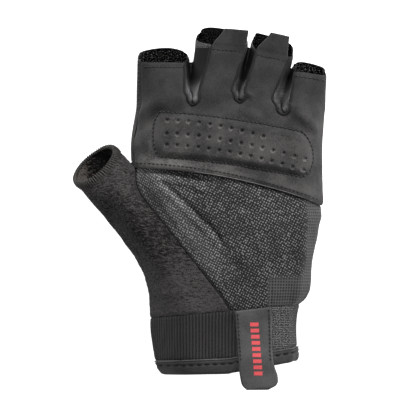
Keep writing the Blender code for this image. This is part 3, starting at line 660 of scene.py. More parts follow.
def cloth_places(places, turn=CLOTH_TURN):
    """Flat places of a cloth on the glove, in metres: along is +Y, and across goes on down the sides.

    The turn is the share of its way down that counts as a way across."""
    middle = 0.5 * (places[:, 0].min() + places[:, 0].max())
    half = 0.5 * (places[:, 0].max() - places[:, 0].min())
    side = np.tanh(SIDE_STEEPNESS * (places[:, 0] - middle) / half)
    drop = places[:, 2].max() - places[:, 2]
    return np.column_stack((places[:, 0] + turn * side * drop, places[:, 1]))


def height_under(finder, spot):
    """Height of the topmost surface under a spot, or None where there is none."""
    hit = finder.ray_cast(Vector((spot[0], spot[1], 2 * PALM_DEPTH)), Vector((0, 0, -1)))[0]
    return None if hit is None else hit.z


skin_finder = BVHTree.FromPolygons([Vector(place) for place in skin.places], skin.faces.tolist())
GUSSET_END = 0.0036
GUSSET_END_POINTS = 24
GUSSET_REACH = 0.009


def round_end(line):
    """A gusset's edge with its lower end drawn as half an ellipse."""
    tip = int(np.argmin(line[:, 1]))
    above = line[:, 1] > line[tip, 1] + GUSSET_END
    before = line[:tip][above[:tip]]
    after = line[tip:][above[tip:]]
    turn = np.linspace(0, math.pi, GUSSET_END_POINTS + 2)[1:-1]
    arc = before[-1] + (after[0] - before[-1]) * (0.5 - 0.5 * np.cos(turn))[:, None]
    arc[:, 1] -= (0.5 * (before[-1, 1] + after[0, 1]) - line[tip, 1]) * np.sin(turn)
    arc[:, 2] = [height_under(skin_finder, spot) for spot in arc]
    return np.vstack((before, arc, after))


def round_gussets():
    """Gives the faces inside each gusset's rounded end to it and the others to the leather.

    The gussets' rounded edges come back, for the piping."""
    leather = PANELS.index("leather_palm")
    centres = skin.places[skin.faces].mean(axis=1)
    edges = []
    for gusset in GUSSETS:
        line = max(seam_lines((gusset,), ("leather_palm",)), key=len)
        edge = averaged(round_end(skin.places[line]), reach=2)
        end = edge[np.argmin(edge[:, 1])]
        number = PANELS.index(gusset)
        near = np.isin(skin.panels, (leather, number))
        near &= np.linalg.norm(centres - end, axis=1) < GUSSET_REACH
        skin.panels[near] = np.where(inside_line(centres[near], edge), number, leather)
        edges.append(edge)
    return edges


gusset_edges = round_gussets()
SHARP_EDGE = math.radians(60)


def make_piece(name, places, faces, finishes, choices=None, flat=None):
    """A mesh object from arrays, with the finish of each face and its cloth's flat places."""
    mesh = bpy.data.meshes.new(name)
    mesh.from_pydata(places, [], faces)
    for finish in finishes:
        mesh.materials.append(finish)
    if choices is not None:
        mesh.polygons.foreach_set("material_index", choices)
    corners = values_of(mesh.loops, "vertex_index", kind=np.int64)
    flat = cloth_places(np.asarray(places)) if flat is None else flat
    mesh.uv_layers.new(name="cloth").data.foreach_set("uv", flat[corners].ravel())
    mesh.shade_smooth()
    mesh.set_sharp_from_angle(angle=SHARP_EDGE)
    mesh.update()
    piece = bpy.data.objects.new(name, mesh)
    bpy.context.scene.collection.objects.link(piece)
    return piece


def shell_faces(faces, count):
    """Faces of a sheet, of its underside, whose points are numbered on from a count, and of its edge."""
    rim = open_edges(faces)
    walls = np.column_stack((rim[:, 1], rim[:, 0], rim[:, 0] + count, rim[:, 1] + count))
    return np.vstack((faces, faces[:, ::-1] + count, walls))


# Each panel sinks towards its seams, in a groove of this depth and width
GROOVE_DEPTH = 0.00045
GROOVE_WIDTH = 0.0007


def cut_panel(name, panels, wall, finishes, rise=0.0, relief=None, turn=CLOTH_TURN):
    """Cuts panels out of the skin as one piece, with a wall, rolled edges and its own relief.

    The finishes are those of the panels in their order, and last that of the inside."""
    numbers = [PANELS.index(panel) for panel in panels]
    chosen = np.isin(skin.panels, numbers)
    used, faces = np.unique(skin.faces[chosen], return_inverse=True)
    faces = faces.reshape(-1, 4)
    places = skin.places[used]
    outward = skin.outward[used]
    to_rim = distances(places, places[open_edges(faces)[:, 0]])
    lift = rise - GROOVE_DEPTH * np.exp(-(to_rim / GROOVE_WIDTH) ** 2)
    if relief is not None:
        lift = lift + relief(places, outward, to_rim)
    outer = places + outward * lift[:, None]
    outer[:, 2] = np.maximum(outer[:, 2], 0.0)
    inner = outer - outward * wall
    inner[:, 2] = np.maximum(inner[:, 2], 0.0)
    every_face = shell_faces(faces, len(outer))
    choices = np.full(len(every_face), len(finishes) - 1)
    choices[:len(faces)] = [numbers.index(panel) for panel in skin.panels[chosen]]
    flat = np.vstack((cloth_places(places, turn),) * 2)
    return make_piece(name, np.vstack((outer, inner)), every_face, finishes, choices, flat)


def fit(piece, slot, *nodes):
    """A finished piece stays on the glove's one body and stands for nodes of the model, which it hides; the
    slot is not used.
    """
    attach(piece, "root")
    if nodes:
        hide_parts(*nodes)


class Finish:
    """The material of one leather, cloth or thread, made of procedural nodes."""

    def __init__(self, name, roughness, sheen=0.0, shine=0.5):
        self.material = bpy.data.materials.new(name)
        self.material.use_nodes = True
        self.tree = self.material.node_tree
        self.shader = self.tree.nodes["Principled BSDF"]
        self.shader.inputs["Roughness"].default_value = roughness
        self.shader.inputs["Sheen Weight"].default_value = sheen
        self.shader.inputs["Specular IOR Level"].default_value = shine
        places = self.node("TexCoord")
        self.places = places.outputs["Object"]
        self.cloth = places.outputs["UV"]

    def node(self, kind, settings=None, **sockets):
        """A new node; a socket is named, or given by its number after an underscore."""
        made = self.tree.nodes.new("ShaderNode" + kind)
        for setting, value in (settings or {}).items():
            setattr(made, setting, value)
        for place, value in sockets.items():
            socket = made.inputs[int(place[1:]) if place[1:].isdigit() else place]
            if isinstance(value, bpy.types.NodeSocket):
                self.tree.links.new(value, socket)
            else:
                socket.default_value = value
        return made

    def axes(self, source):
        """The three coordinates of places."""
        return self.node("SeparateXYZ", _0=source).outputs

    def stretched(self, source, along):
        """Places stretched along each axis."""
        return self.node("VectorMath", {"operation": "MULTIPLY"}, _0=source, _1=along).outputs[0]

    def mottle(self, size, detail=2.0, places=None):
        """Soft spots of about the given size, in metres."""
        return self.node(
            "TexNoise", Vector=places or self.places, Scale=1 / size, Detail=detail
        ).outputs[0]

    def cells(self, places, pitch, unevenness):
        """Distance to the nearest of many spots that lie about a pitch apart in the plane of the cloth."""
        return self.node(
            "TexVoronoi", {"voronoi_dimensions": "2D"}, Vector=places, Scale=1 / pitch,
            Randomness=unevenness,
        ).outputs[0]

    def maths(self, operation, first, second=0.0):
        return self.node("Math", {"operation": operation}, _0=first, _1=second).outputs[0]

    def times(self, first, second):
        return self.maths("MULTIPLY", first, second)

    def added(self, *shares):
        """Sum of heights, each with its own share."""
        total = None
        for height, share in shares:
            part = self.times(height, share)
            total = part if total is None else self.maths("ADD", total, part)
        return total

    def step(self, height, low, high):
        """0 under low and 1 over high, with a soft step between."""
        return self.node(
            "MapRange", {"interpolation_type": "SMOOTHSTEP"}, _0=height, _1=low, _2=high
        ).outputs[0]

    def between(self, share, dark, light):
        """Colour from dark to light by a share; each is a colour, or what another node gives."""
        ends = [(*end, 1) if isinstance(end, tuple) else end for end in (dark, light)]
        return self.node("Mix", {"data_type": "RGBA"}, _0=share, _6=ends[0], _7=ends[1]).outputs[2]

    def paint(self, colour, height, depth):
        """Sets the colour, and the small relief that the mesh is too coarse for."""
        self.tree.links.new(colour, self.shader.inputs["Base Color"])
        bump = self.node("Bump", Strength=1.0, Distance=depth, Height=height)
        self.tree.links.new(bump.outputs[0], self.shader.inputs["Normal"])
        return self.material


NUBUCK_DARK = (0.0115, 0.0109, 0.0110)
NUBUCK_LIGHT = (0.0302, 0.0288, 0.0287)
NUBUCK_PALE_AND_HIGHLIGHT = (0.128, 0.123, 0.119)
NUBUCK_ROUGHNESS = 0.85

# Painted highlight: where the leather is painted lighter, from none to all: its lower half, and more so its
# heel
HIGHLIGHT_FROM_Y = (0.056, 0.034)
HIGHLIGHT_SHARE = 0.31
HEEL_HIGHLIGHT_FROM_Y = (0.029, 0.023)
HEEL_HIGHLIGHT_FROM_X = (0.022, -0.036)
HEEL_HIGHLIGHT_SHARE = 0.69

# Marks of the nubuck: size in metres, how much finer detail each has, and its share in the colour
Mark = namedtuple("Mark", "size detail share")
NAP = Mark(0.011, 3.0, 0.45)
GRAIN = Mark(0.0006, 2.0, 0.35)
FIBRE = Mark(0.00022, 1.0, 0.20)


def nubuck(name, dark, light, highlight_colour=None, roughness=NUBUCK_ROUGHNESS):
    """Brushed leather: soft nap marks, a fine grain, and where a highlight colour is given, a painted
    highlight, most at the heel.
    """
    finish = Finish(name, roughness, sheen=0.08, shine=0.25)
    marks = [(finish.mottle(mark.size, mark.detail), mark.share) for mark in (NAP, GRAIN, FIBRE)]
    spots = finish.added(*marks)
    colour = finish.between(finish.step(spots, low=0.38, high=0.62), dark, light)
    if highlight_colour is not None:
        # Painted highlight over the lower half, and more at the heel
        across, along, _ = finish.axes(finish.places)
        lower = finish.step(along, *HIGHLIGHT_FROM_Y)
        heel = finish.times(finish.step(along, *HEEL_HIGHLIGHT_FROM_Y), finish.step(across, *HEEL_HIGHLIGHT_FROM_X))
        wear_and_highlight = finish.between(finish.step(spots, low=0.40, high=0.60), light, highlight_colour)
        share = finish.added((lower, HIGHLIGHT_SHARE), (heel, HEEL_HIGHLIGHT_SHARE))
        colour = finish.between(share, colour, wear_and_highlight)
    grain, fibre = marks[1][0], marks[2][0]
    return finish.paint(colour, finish.added((grain, 0.6), (fibre, 0.4)), depth=0.00010)


NET_TWIST = 0.0006
NET_TWIST_SHARE = 0.5
NET_STEP = (0.46, 0.80)
NET_UNEVENNESS = 0.35


def net_threads(finish, pitch, openness=0.0, unevenness=NET_UNEVENNESS):
    """1 on the threads of an open mesh and 0 in its holes, in staggered rows."""
    holes = finish.cells(finish.cloth, pitch, unevenness)
    twist = finish.mottle(NET_TWIST)
    low, high = NET_STEP
    return finish.step(finish.added((holes, 1.0), (twist, NET_TWIST_SHARE)), low + openness, high + openness)


def net(name, dark, light, pitch, openness=0.0, unevenness=NET_UNEVENNESS, painted_shade_ends=None, painted_shade_share=0.0):
    """Open mesh knit: light threads round small dark holes, with painted shade between two steps across the
    glove.
    """
    finish = Finish(name, roughness=0.90, shine=0.0)
    threads = net_threads(finish, pitch, openness, unevenness)
    if painted_shade_ends is not None:
        # Painted shade between the two steps across the glove
        across = finish.axes(finish.places)[0]
        painted_shade = finish.times(*[finish.step(across, *ends) for ends in painted_shade_ends])
        threads = finish.times(threads, finish.maths("SUBTRACT", 1.0, finish.times(painted_shade, painted_shade_share)))
    return finish.paint(finish.between(threads, dark, light), threads, depth=0.00025)


# A soft fold or, with a rise under 0, a groove, drawn from above. All its lengths are in millimetres.
MM = 0.001
Fold = namedtuple("Fold", "rise width points")
FOLD_END_SHARE = 0.25
FOLD_END_POWER = 0.7


def measured(line):
    """A line of points as an array, with its steps, their lengths and the length passed at each point."""
    line = np.asarray(line, dtype=float)
    steps = np.diff(line, axis=0)
    lengths = np.linalg.norm(steps, axis=1)
    return line, steps, lengths, np.concatenate(([0.0], np.cumsum(lengths)))


def line_distance(spots, line):
    """Distance from each spot to a line of points, and the share of the line's length at its nearest."""
    line, steps, lengths, passed = measured(line)
    best = np.full(len(spots), np.inf)
    shares = np.zeros(len(spots))
    for start, step, length, before in zip(line, steps, lengths, passed):
        along = np.clip((spots - start) @ step / length ** 2, 0, 1)
        gap = np.linalg.norm(spots - start - along[:, None] * step, axis=1)
        nearer = gap < best
        best[nearer] = gap[nearer]
        shares[nearer] = (before + along[nearer] * length) / passed[-1]
    return best, shares


def folded(places, outward, folds):
    """How far the folds of a cloth lift or sink it; they fade at their ends and down the glove's sides."""
    spots = places[:, :2] / MM
    total = np.zeros(len(places))
    for fold in folds:
        gap, share = line_distance(spots, fold.points)
        ends = np.clip(np.minimum(share, 1 - share) / FOLD_END_SHARE, 0, 1) ** FOLD_END_POWER
        total += MM * fold.rise * ends * np.exp(-(gap / fold.width) ** 2)
    return total * np.clip(2 * outward[:, 2], 0, 1)


# Soft waves of a cloth that isn't pulled tight, in metres
Wave = namedtuple("Wave", "length height")


def uneven(places, *waves):
    """How far waves lift or sink a cloth, the same in each build."""
    return sum(
        wave.height * np.array([noise.noise(Vector(place) / wave.length) for place in places])
        for wave in waves
    )


def calm(to_rim, reach):
    """0 at a panel's seams and 1 from a reach on, so that the panels stay joined."""
    return np.clip(to_rim / reach, 0, 1)


# The palm's folds: beside the index finger, between the gussets, beside the pad, and the ridge that the
# doubled hem makes under the pad
LEATHER_FOLDS = (
    Fold(-1.4, 2.9, ((-48.0, 33.0), (-43.0, 39.0), (-38.0, 44.0), (-30.0, 48.0))),
    Fold(0.8, 2.6, ((-47.0, 42.0), (-41.0, 48.0), (-32.0, 53.0))),
    Fold(-0.5, 2.6, ((-15.0, 48.0), (-9.0, 45.5), (-5.0, 50.0))),
    Fold(0.5, 3.2, ((-2.0, 47.0), (6.0, 46.0), (13.0, 45.0))),
    Fold(-0.6, 2.4, ((12.0, 50.0), (18.0, 44.0), (26.0, 41.5))),
    Fold(-1.1, 2.6, ((28.0, 47.0), (34.0, 41.0), (42.0, 33.0))),
    Fold(-0.8, 0.7, ((6.9, 60.0), (7.2, 56.0), (8.4, 53.2), (11.6, 51.8))),
    Fold(0.5, 0.8, ((8.6, 60.0), (8.8, 57.0), (9.8, 54.9), (12.6, 53.6))),
    Fold(0.8, 2.2, ((33.0, 46.5), (38.0, 42.5), (44.0, 36.5))),
    Fold(0.9, 1.8, ((-48.0, 19.9), (-30.0, 19.3), (-14.0, 17.4), (4.0, 14.1), (24.0, 9.2), (42.0, 3.6))),
)


PALM_WALL = 0.0012
PALM_WAVES = (Wave(0.012, 0.0006), Wave(0.0035, 0.00012))
PALM_CALM = 0.003
HEM_RISE = 0.0006
HEM_WIDTH = 0.0060
hem_line = skin.places[seam_lines(("leather_palm",), ("grip_panel",))[0]]


def palm_relief(places, outward, to_rim):
    hem = HEM_RISE * np.exp(-(distances(places, hem_line) / HEM_WIDTH) ** 4)
    waves = uneven(places, *PALM_WAVES) * calm(to_rim, PALM_CALM)
    return folded(places, outward, LEATHER_FOLDS) + waves + hem


# The palm leather is painted lighter over its lower half and heel: a painted highlight
leather = nubuck("nubuck_leather", NUBUCK_DARK, NUBUCK_LIGHT, NUBUCK_PALE_AND_HIGHLIGHT)
# The lining takes painted shade inside the middle and ring fingers, in the shade of their tabs
lining_net = net(
    "lining_net", dark=(0.0003, 0.0003, 0.0003), light=(0.125, 0.123, 0.121), pitch=0.00075, openness=0.22,
    unevenness=0.55, painted_shade_ends=((-0.0210, -0.0175), (0.0330, 0.0310)), painted_shade_share=0.65,
)
palm = cut_panel("palm_leather", ("leather_palm",), PALM_WALL, (leather, lining_net), relief=palm_relief)
fit(palm, "nubuck_leather", "leather_palm")


# The stitching of the leather
# Black bonded thread in a lockstitch: short stitches that sink into the leather at both ends. One row runs
# over the hem and one under each finger's rim.
LEATHER_PITCH = 0.0021
LEATHER_STITCH = 0.0014
THREAD_RADIUS = 0.00034
THREAD_SIDES = 6
TUBE_END_SHARE = 0.45
NEARLY_UPRIGHT = 0.1
RIM_INSET = 0.0026
HEM_INSET = 0.0024

# Spots along a stitch, as shares of its length from its middle: it sinks in at both ends, and in between
# lies on the cloth, raised by a share of the thread's radius
StitchSpot = namedtuple("StitchSpot", "along sunk raised")
STITCH_SINK = 0.00030
STITCH_SPOTS = (
    StitchSpot(-0.5, STITCH_SINK, 0.0),
    StitchSpot(-0.3, 0.0, 0.4),
    StitchSpot(0.0, 0.0, 0.6),
    StitchSpot(0.3, 0.0, 0.4),
    StitchSpot(0.5, STITCH_SINK, 0.0),
)


def finder_of(*pieces):
    """One search tree for the surfaces of some pieces."""
    places = []
    faces = []
    for piece in pieces:
        first = len(places)
        places.extend(vertex.co.copy() for vertex in piece.data.vertices)
        faces.extend(tuple(first + corner for corner in face.vertices) for face in piece.data.polygons)
    return BVHTree.FromPolygons(places, faces)


def evenly(line, pitch):
    """Spots at an even pitch along a line of points, and the line's direction at each."""
    line, steps, lengths, passed = measured(line)
    count = max(2, int(round(passed[-1] / pitch)))
    reaches = (np.arange(count) + 0.5) * passed[-1] / count
    owners = np.clip(np.searchsorted(passed, reaches, side="right") - 1, 0, len(steps) - 1)
    ways = steps[owners] / lengths[owners][:, None]
    return line[owners] + ways * (reaches - passed[owners])[:, None], ways


def tube_rings(path, radius):
    """Rings of places round a path, which is a line of points, drawn in at its two ends."""
    points = np.asarray(path, dtype=float)
    ways = np.gradient(points, axis=0)
    ways /= np.linalg.norm(ways, axis=1)[:, None]
    side = np.cross(ways[0], (0.0, 0.0, 1.0))
    if np.linalg.norm(side) < NEARLY_UPRIGHT:
        side = np.cross(ways[0], (1.0, 0.0, 0.0))
    places = []
    for number, (point, way) in enumerate(zip(points, ways)):
        side = side - way * np.dot(side, way)
        side /= np.linalg.norm(side)
        other = np.cross(way, side)
        own = radius * (TUBE_END_SHARE if number in (0, len(points) - 1) else 1.0)
        for corner in range(THREAD_SIDES):
            angle = 2 * math.pi * corner / THREAD_SIDES
            place = point + own * (math.cos(angle) * side + math.sin(angle) * other)
            places.append((place[0], place[1], max(place[2], 0.0)))
    return places


def tubes(name, paths, radius, finish):
    """Threads or cords as one mesh: a round tube along each path."""
    places = []
    faces = []
    for path in paths:
        first = len(places)
        places.extend(tube_rings(path, radius))
        last = len(places) - THREAD_SIDES
        for here in range(first, last, THREAD_SIDES):
            above = here + THREAD_SIDES
            for corner in range(THREAD_SIDES):
                after = (corner + 1) % THREAD_SIDES
                faces.append((here + corner, here + after, above + after, above + corner))
        faces.append(tuple(range(first + THREAD_SIDES - 1, first - 1, -1)))
        faces.append(tuple(range(last, last + THREAD_SIDES)))
    return make_piece(name, places, faces, (finish,))


def stitches(name, lines, pitch, length, finder, finish, radius=THREAD_RADIUS):
    """Rows of stitches laid on a surface along lines that are drawn from above."""
    paths = []
    for line in lines:
        for spot, way in zip(*evenly(line, pitch)):
            spots = [spot + way * (length * place.along) for place in STITCH_SPOTS]
            heights = [height_under(finder, point) for point in spots]
            if None in heights:
                continue
            lifts = [place.raised * radius - place.sunk for place in STITCH_SPOTS]
            paths.append([(*point, height + lift) for point, height, lift in zip(spots, heights, lifts)])
    return tubes(name, paths, radius, finish)


def flat_line(points):
    return np.array([(point[0], point[1]) for point in points])


def thread(name, colour):
    """Twisted thread with a slight shine."""
    finish = Finish(name, roughness=0.5, shine=0.5)
    twist = finish.mottle(0.0003)
    darker = tuple(0.5 * part for part in colour)
    return finish.paint(finish.between(twist, darker, colour), twist, depth=0.00003)


black_thread = thread("black_thread", (0.0035, 0.0033, 0.0033))
leather_finder = finder_of(palm)
palm_end = flat_line(hand_sections(HAND_ROWS)[-1].palm_front())
rows = [palm_end + (0, HEM_INSET)]
for finger in FINGERS:
    mouth = OPENINGS[finger]
    ends = [opening_point(finger, MIDDLE_FRONT, end, 0) for end in (mouth.tongue_left, mouth.tongue_right)]
    rows.append(flat_line(ends) - (0, RIM_INSET))
palm_stitching = stitches(
    "palm_stitching", rows, LEATHER_PITCH, LEATHER_STITCH, leather_finder, black_thread
)
fit(palm_stitching, "nubuck_leather")


# The cut edge of the hem
# The leather ends in a cut edge over the grip panel. The cut shows the light inside of the hide, as a thin
# line under the row of stitches.
EDGE_INSET = 0.0006
EDGE_RADIUS = 0.00022
EDGE_STEP = 0.0012
EDGE_FIRST = 24
EDGE_LAST = -2
NUBUCK_CUT = (0.160, 0.156, 0.150)
cut_leather = nubuck("cut_leather", NUBUCK_PALE_AND_HIGHLIGHT, NUBUCK_CUT)
edge_spots = evenly(palm_end + (0, EDGE_INSET), EDGE_STEP)[0][EDGE_FIRST:EDGE_LAST]
edge_places = np.array([(*spot, height_under(leather_finder, spot)) for spot in edge_spots])
hem_edge = tubes("hem_edge", [averaged(edge_places, reach=2)], EDGE_RADIUS, cut_leather)
fit(hem_edge, "nubuck_leather")


# The palm pad
# A sheet of foam under its own nubuck cover, laid over the palm under the fingers. A flange all round is
# sewn down, the body rises from it in a soft bevel, and three rows of round dimples are pressed into it.
PAD_CLEARANCE = 0.0074
PAD_LENGTH = PALM_WIDTH - 2 * PAD_CLEARANCE
PAD_WIDTH = 0.0240
PAD_SLANT_SHARE = 0.107
PAD_BEND_POWER = 1.6
PAD_LEFT_END_SHARE = 0.45
PAD_RIGHT_END_SHARE = 0.75
PAD_ACROSS_SHARE = 0.021
PAD_ALONG_SHARE = 0.334
PAD_SINK = 0.0002
PAD_RISE = 0.0027
PAD_FLANGE = 0.0013
PAD_FLANGE_RISE = 0.0006
PAD_BEVEL = 0.0030
PAD_SEAM_INSET = 0.0007
PAD_SEAM_DEPTH = 0.0005
PAD_SEAM_WIDTH = 0.0005
PAD_WAVE = Wave(0.009, 0.00035)
PAD_THREAD_RADIUS = 0.00044
PAD_SHAPE = (111, 341)
OUTLINE_POINTS = 120
DIMPLE_RADIUS = 0.00132
DIMPLE_DEPTH = 0.00150
PRESSED_ROUGHNESS = 0.30

# Rows of dimples, in millimetres: they start level and bend down towards the little finger
DimpleRow = namedtuple("DimpleRow", "count first_x first_y last_x last_y bend")
DIMPLE_ROWS = (
    DimpleRow(10, -30.8, 42.0, 17.0, 33.9, 1.7),
    DimpleRow(14, -31.0, 35.3, 37.6, 22.7, 1.6),
    DimpleRow(14, -31.0, 29.7, 36.6, 17.4, 1.6),
)


def pad_places(along, across):
    """Spots of the pad seen from above: along and across run from -1 to 1."""
    half_length = 0.5 * PAD_LENGTH
    end = np.where(along < 0, PAD_LEFT_END_SHARE, PAD_RIGHT_END_SHARE) * 0.5 * PAD_WIDTH
    x = along * (half_length - end * (1 - np.sqrt(np.clip(1 - across ** 2, 0, 1))))
    slant = PAD_SLANT_SHARE * PALM_LENGTH * ((x / half_length + 1) / 2) ** PAD_BEND_POWER
    y = 0.5 * PAD_WIDTH * across - slant
    return np.column_stack((x + PAD_ACROSS_SHARE * PALM_WIDTH, y + PAD_ALONG_SHARE * PALM_LENGTH))


def pad_outline(inset=0.0):
    """The pad's outline as a closed line, drawn in by an inset."""
    run = np.linspace(-1, 1, OUTLINE_POINTS)
    steps = np.sin(0.5 * math.pi * run)
    wide = 1 - 2 * inset / PAD_LENGTH
    tall = 1 - 2 * inset / PAD_WIDTH
    full = np.ones(len(run))
    along = np.concatenate((run, full, run[::-1], -full)) * wide
    across = np.concatenate((-full, steps, full, steps[::-1])) * tall
    return pad_places(along, across)


def dimple_spots():
    spots = []
    for row in DIMPLE_ROWS:
        for share in even_shares(row.count):
            across = mix(row.first_x, row.last_x, share)
            along = mix(row.first_y, row.last_y, share ** row.bend)
            spots.append((MM * across, MM * along))
    return np.array(spots)


def grid_faces(rows, columns):
    numbers = np.arange(rows * columns).reshape(rows, columns)
    corners = (numbers[:-1, :-1], numbers[:-1, 1:], numbers[1:, 1:], numbers[1:, :-1])
    return np.column_stack([corner.ravel() for corner in corners])


def laid_piece(name, spots, shape, base, thickness, finishes, choices=None):
    """A sheet sewn onto the glove: a grid of spots seen from above, its underside and its thickness.

    The choices say which finish each face of its top takes; all the others take the first."""
    faces = grid_faces(*shape)
    every_face = shell_faces(faces, len(spots))
    places = np.vstack((np.column_stack((spots, base + thickness)), np.column_stack((spots, base))))
    if choices is not None:
        choices = np.concatenate((choices, np.zeros(len(every_face) - len(faces), dtype=np.int64)))
    return make_piece(name, places, every_face, finishes, choices, np.vstack((spots, spots)))


def level(spots):
    """Spots as places at height 0."""
    return np.column_stack((spots, np.zeros(len(spots))))


across_shares, along_shares = [np.linspace(-1, 1, count) for count in PAD_SHAPE]
along_pad, across_pad = np.meshgrid(along_shares, np.sin(0.5 * math.pi * across_shares))
pad_spots = pad_places(along_pad.ravel(), across_pad.ravel())
pad_base = np.array([height_under(skin_finder, spot) for spot in pad_spots])
from_edge = distances(level(pad_spots), level(pad_outline()))
from_dimple = distances(level(pad_spots), level(dimple_spots()))
pad_body = np.sin(0.5 * math.pi * np.clip((from_edge - PAD_FLANGE) / PAD_BEVEL, 0, 1))
pad_top = PAD_FLANGE_RISE * np.sqrt(np.clip(from_edge / PAD_FLANGE_RISE, 0, 1))
pad_top += (PAD_RISE - PAD_FLANGE_RISE) * pad_body
pad_top -= PAD_SEAM_DEPTH * np.exp(-((from_edge - PAD_SEAM_INSET) / PAD_SEAM_WIDTH) ** 2)
pad_top -= DIMPLE_DEPTH * np.clip(1 - (from_dimple / DIMPLE_RADIUS) ** 2, 0, 1)
pad_top += uneven(level(pad_spots), PAD_WAVE) * pad_body
# Painted highlight: the dimples take a lighter nubuck than the pad round them, for the light on their walls
pressed = nubuck("dimple_highlight_nubuck", NUBUCK_LIGHT, NUBUCK_PALE_AND_HIGHLIGHT, roughness=PRESSED_ROUGHNESS)
in_dimple = from_dimple[grid_faces(*PAD_SHAPE)].mean(axis=1) < DIMPLE_RADIUS
pad = laid_piece(
    "palm_pad_cover", pad_spots, PAD_SHAPE, pad_base - PAD_SINK, pad_top + PAD_SINK, (leather, pressed),
    in_dimple.astype(np.int64),
)
fit(pad, "nubuck_leather", "palm_pad")
pad_stitching = stitches(
    "pad_stitching", [pad_outline(PAD_SEAM_INSET)], LEATHER_PITCH, LEATHER_STITCH, finder_of(pad),
    black_thread, PAD_THREAD_RADIUS,
)
fit(pad_stitching, "nubuck_leather")


# The finger tabs
# The leather fronts of the middle and ring fingers run on into tabs, for pulling the glove off. Each is a
# second layer of nubuck, skived thin at its sewn foot, and stands past the finger's rim.
FINGER_TAB_WIDTH = 0.0170
FINGER_TAB_LENGTH = 0.0117
FINGER_TAB_FOOT = 0.0034
TAB_WALL = 0.0013
TAB_FOOT_WALL = 0.0001
TAB_EDGE_WALL = 0.0001
TAB_SKIVED_SHARE = 0.35
TAB_SINK = 0.0004
TAB_EASE = 12
TAB_EDGE = 0.0006
TAB_SHAPE = (61, 41)

# Outlines of the tabs, from the sewn foot to the free end: ahead is a share of the tab's length, left and
# right are shares of its width
TabRow = namedtuple("TabRow", "ahead left right")
FINGER_TAB_ROWS = {
    "middle": (
        TabRow(0.00, -0.47, 0.47),
        TabRow(0.14, -0.47, 0.48),
        TabRow(0.30, -0.48, 0.49),
        TabRow(0.46, -0.42, 0.50),
        TabRow(0.64, -0.31, 0.52),
        TabRow(0.82, -0.22, 0.54),
        TabRow(1.00, -0.15, 0.55),
    ),
    "ring": (
        TabRow(0.00, -0.49, 0.45),
        TabRow(0.14, -0.49, 0.45),
        TabRow(0.30, -0.49, 0.44),
        TabRow(0.46, -0.44, 0.43),
        TabRow(0.67, -0.33, 0.43),
        TabRow(0.89, -0.22, 0.43),
        TabRow(1.13, -0.13, 0.43),
    ),
}


def tab_spots(origin, across, ahead, width, length, outline, slant=0.0):
    """A tab's grid of spots seen from above, from its foot to its free end.

    The slant is how far its foot runs back towards the right, as a share of its width."""
    rows, columns = TAB_SHAPE
    shares = np.linspace(0, outline[-1].ahead, rows)
    known = [row.ahead for row in outline]
    left = np.interp(shares, known, [row.left for row in outline])
    right = np.interp(shares, known, [row.right for row in outline])
    left, right = averaged(np.column_stack((left, right)), reach=1).T
    side = left[:, None] + (right - left)[:, None] * np.linspace(0, 1, columns)[None, :]
    reach = length * shares[:, None] - slant * width * side * (1 - shares[:, None])
    spots = np.array(origin)[:2] + side.ravel()[:, None] * width * np.array(across)[:2]
    return spots + reach.ravel()[:, None] * np.array(ahead)[:2]


def tab_base(finder, spots, lowest):
    """Height of what a tab lies on, and past its edge the height of the row before."""
    heights = []
    for number, spot in enumerate(spots):
        found = height_under(finder, spot)
        if found is None or found < lowest:
            found = heights[number - TAB_SHAPE[1]]
        heights.append(found)
    return np.array(heights)


def neighbours_mean(grid):
    padded = np.pad(grid, 1, mode="edge")
    return 0.25 * (padded[:-2, 1:-1] + padded[2:, 1:-1] + padded[1:-1, :-2] + padded[1:-1, 2:])


def eased(heights, reach):
    """The heights of a tab's grid, bridged over small steps as a stiff sheet would be."""
    grid = heights.reshape(TAB_SHAPE)
    for _ in range(reach):
        grid = np.maximum(grid, neighbours_mean(grid))
    for _ in range(reach):
        grid = neighbours_mean(grid)
    return grid.ravel()


def rounded(spots, edge):
    """0 at the rim of a tab's grid of spots and 1 inside it, in a quarter round."""
    rim = open_edges(grid_faces(*TAB_SHAPE))[:, 0]
    inward = np.clip(distances(level(spots), level(spots[rim])) / edge, 0, 1)
    return np.sqrt(1 - (1 - inward) ** 2)


for finger, outline in FINGER_TAB_ROWS.items():
    mouth = OPENINGS[finger]
    left_end = opening_point(finger, MIDDLE_FRONT, mouth.tongue_left, 0.0)
    right_end = opening_point(finger, MIDDLE_FRONT, mouth.tongue_right, 0.0)
    tab_across = (right_end - left_end).normalized()
    # Halfway between square to the rim and straight along the hand
    tab_ahead = Vector((-tab_across.y, tab_across.x + 1, 0)).normalized()
    tab_foot = left_end.lerp(right_end, 0.5) - tab_ahead * FINGER_TAB_FOOT
    spots = tab_spots(tab_foot, tab_across, tab_ahead, FINGER_TAB_WIDTH, FINGER_TAB_LENGTH, outline)
    base = eased(tab_base(skin_finder, spots, lowest=0.5 * FINGER_DEPTH), TAB_EASE) - TAB_SINK
    skived = np.repeat(np.linspace(0, 1, TAB_SHAPE[0]), TAB_SHAPE[1]) / TAB_SKIVED_SHARE
    wall = mix(TAB_FOOT_WALL, TAB_WALL, np.clip(skived, 0, 1)) * rounded(spots, TAB_EDGE)
    tab = laid_piece("tab_of_" + finger, spots, TAB_SHAPE, base, wall + TAB_EDGE_WALL, (leather,))
    fit(tab, "nubuck_leather", "finger_tab_" + finger)


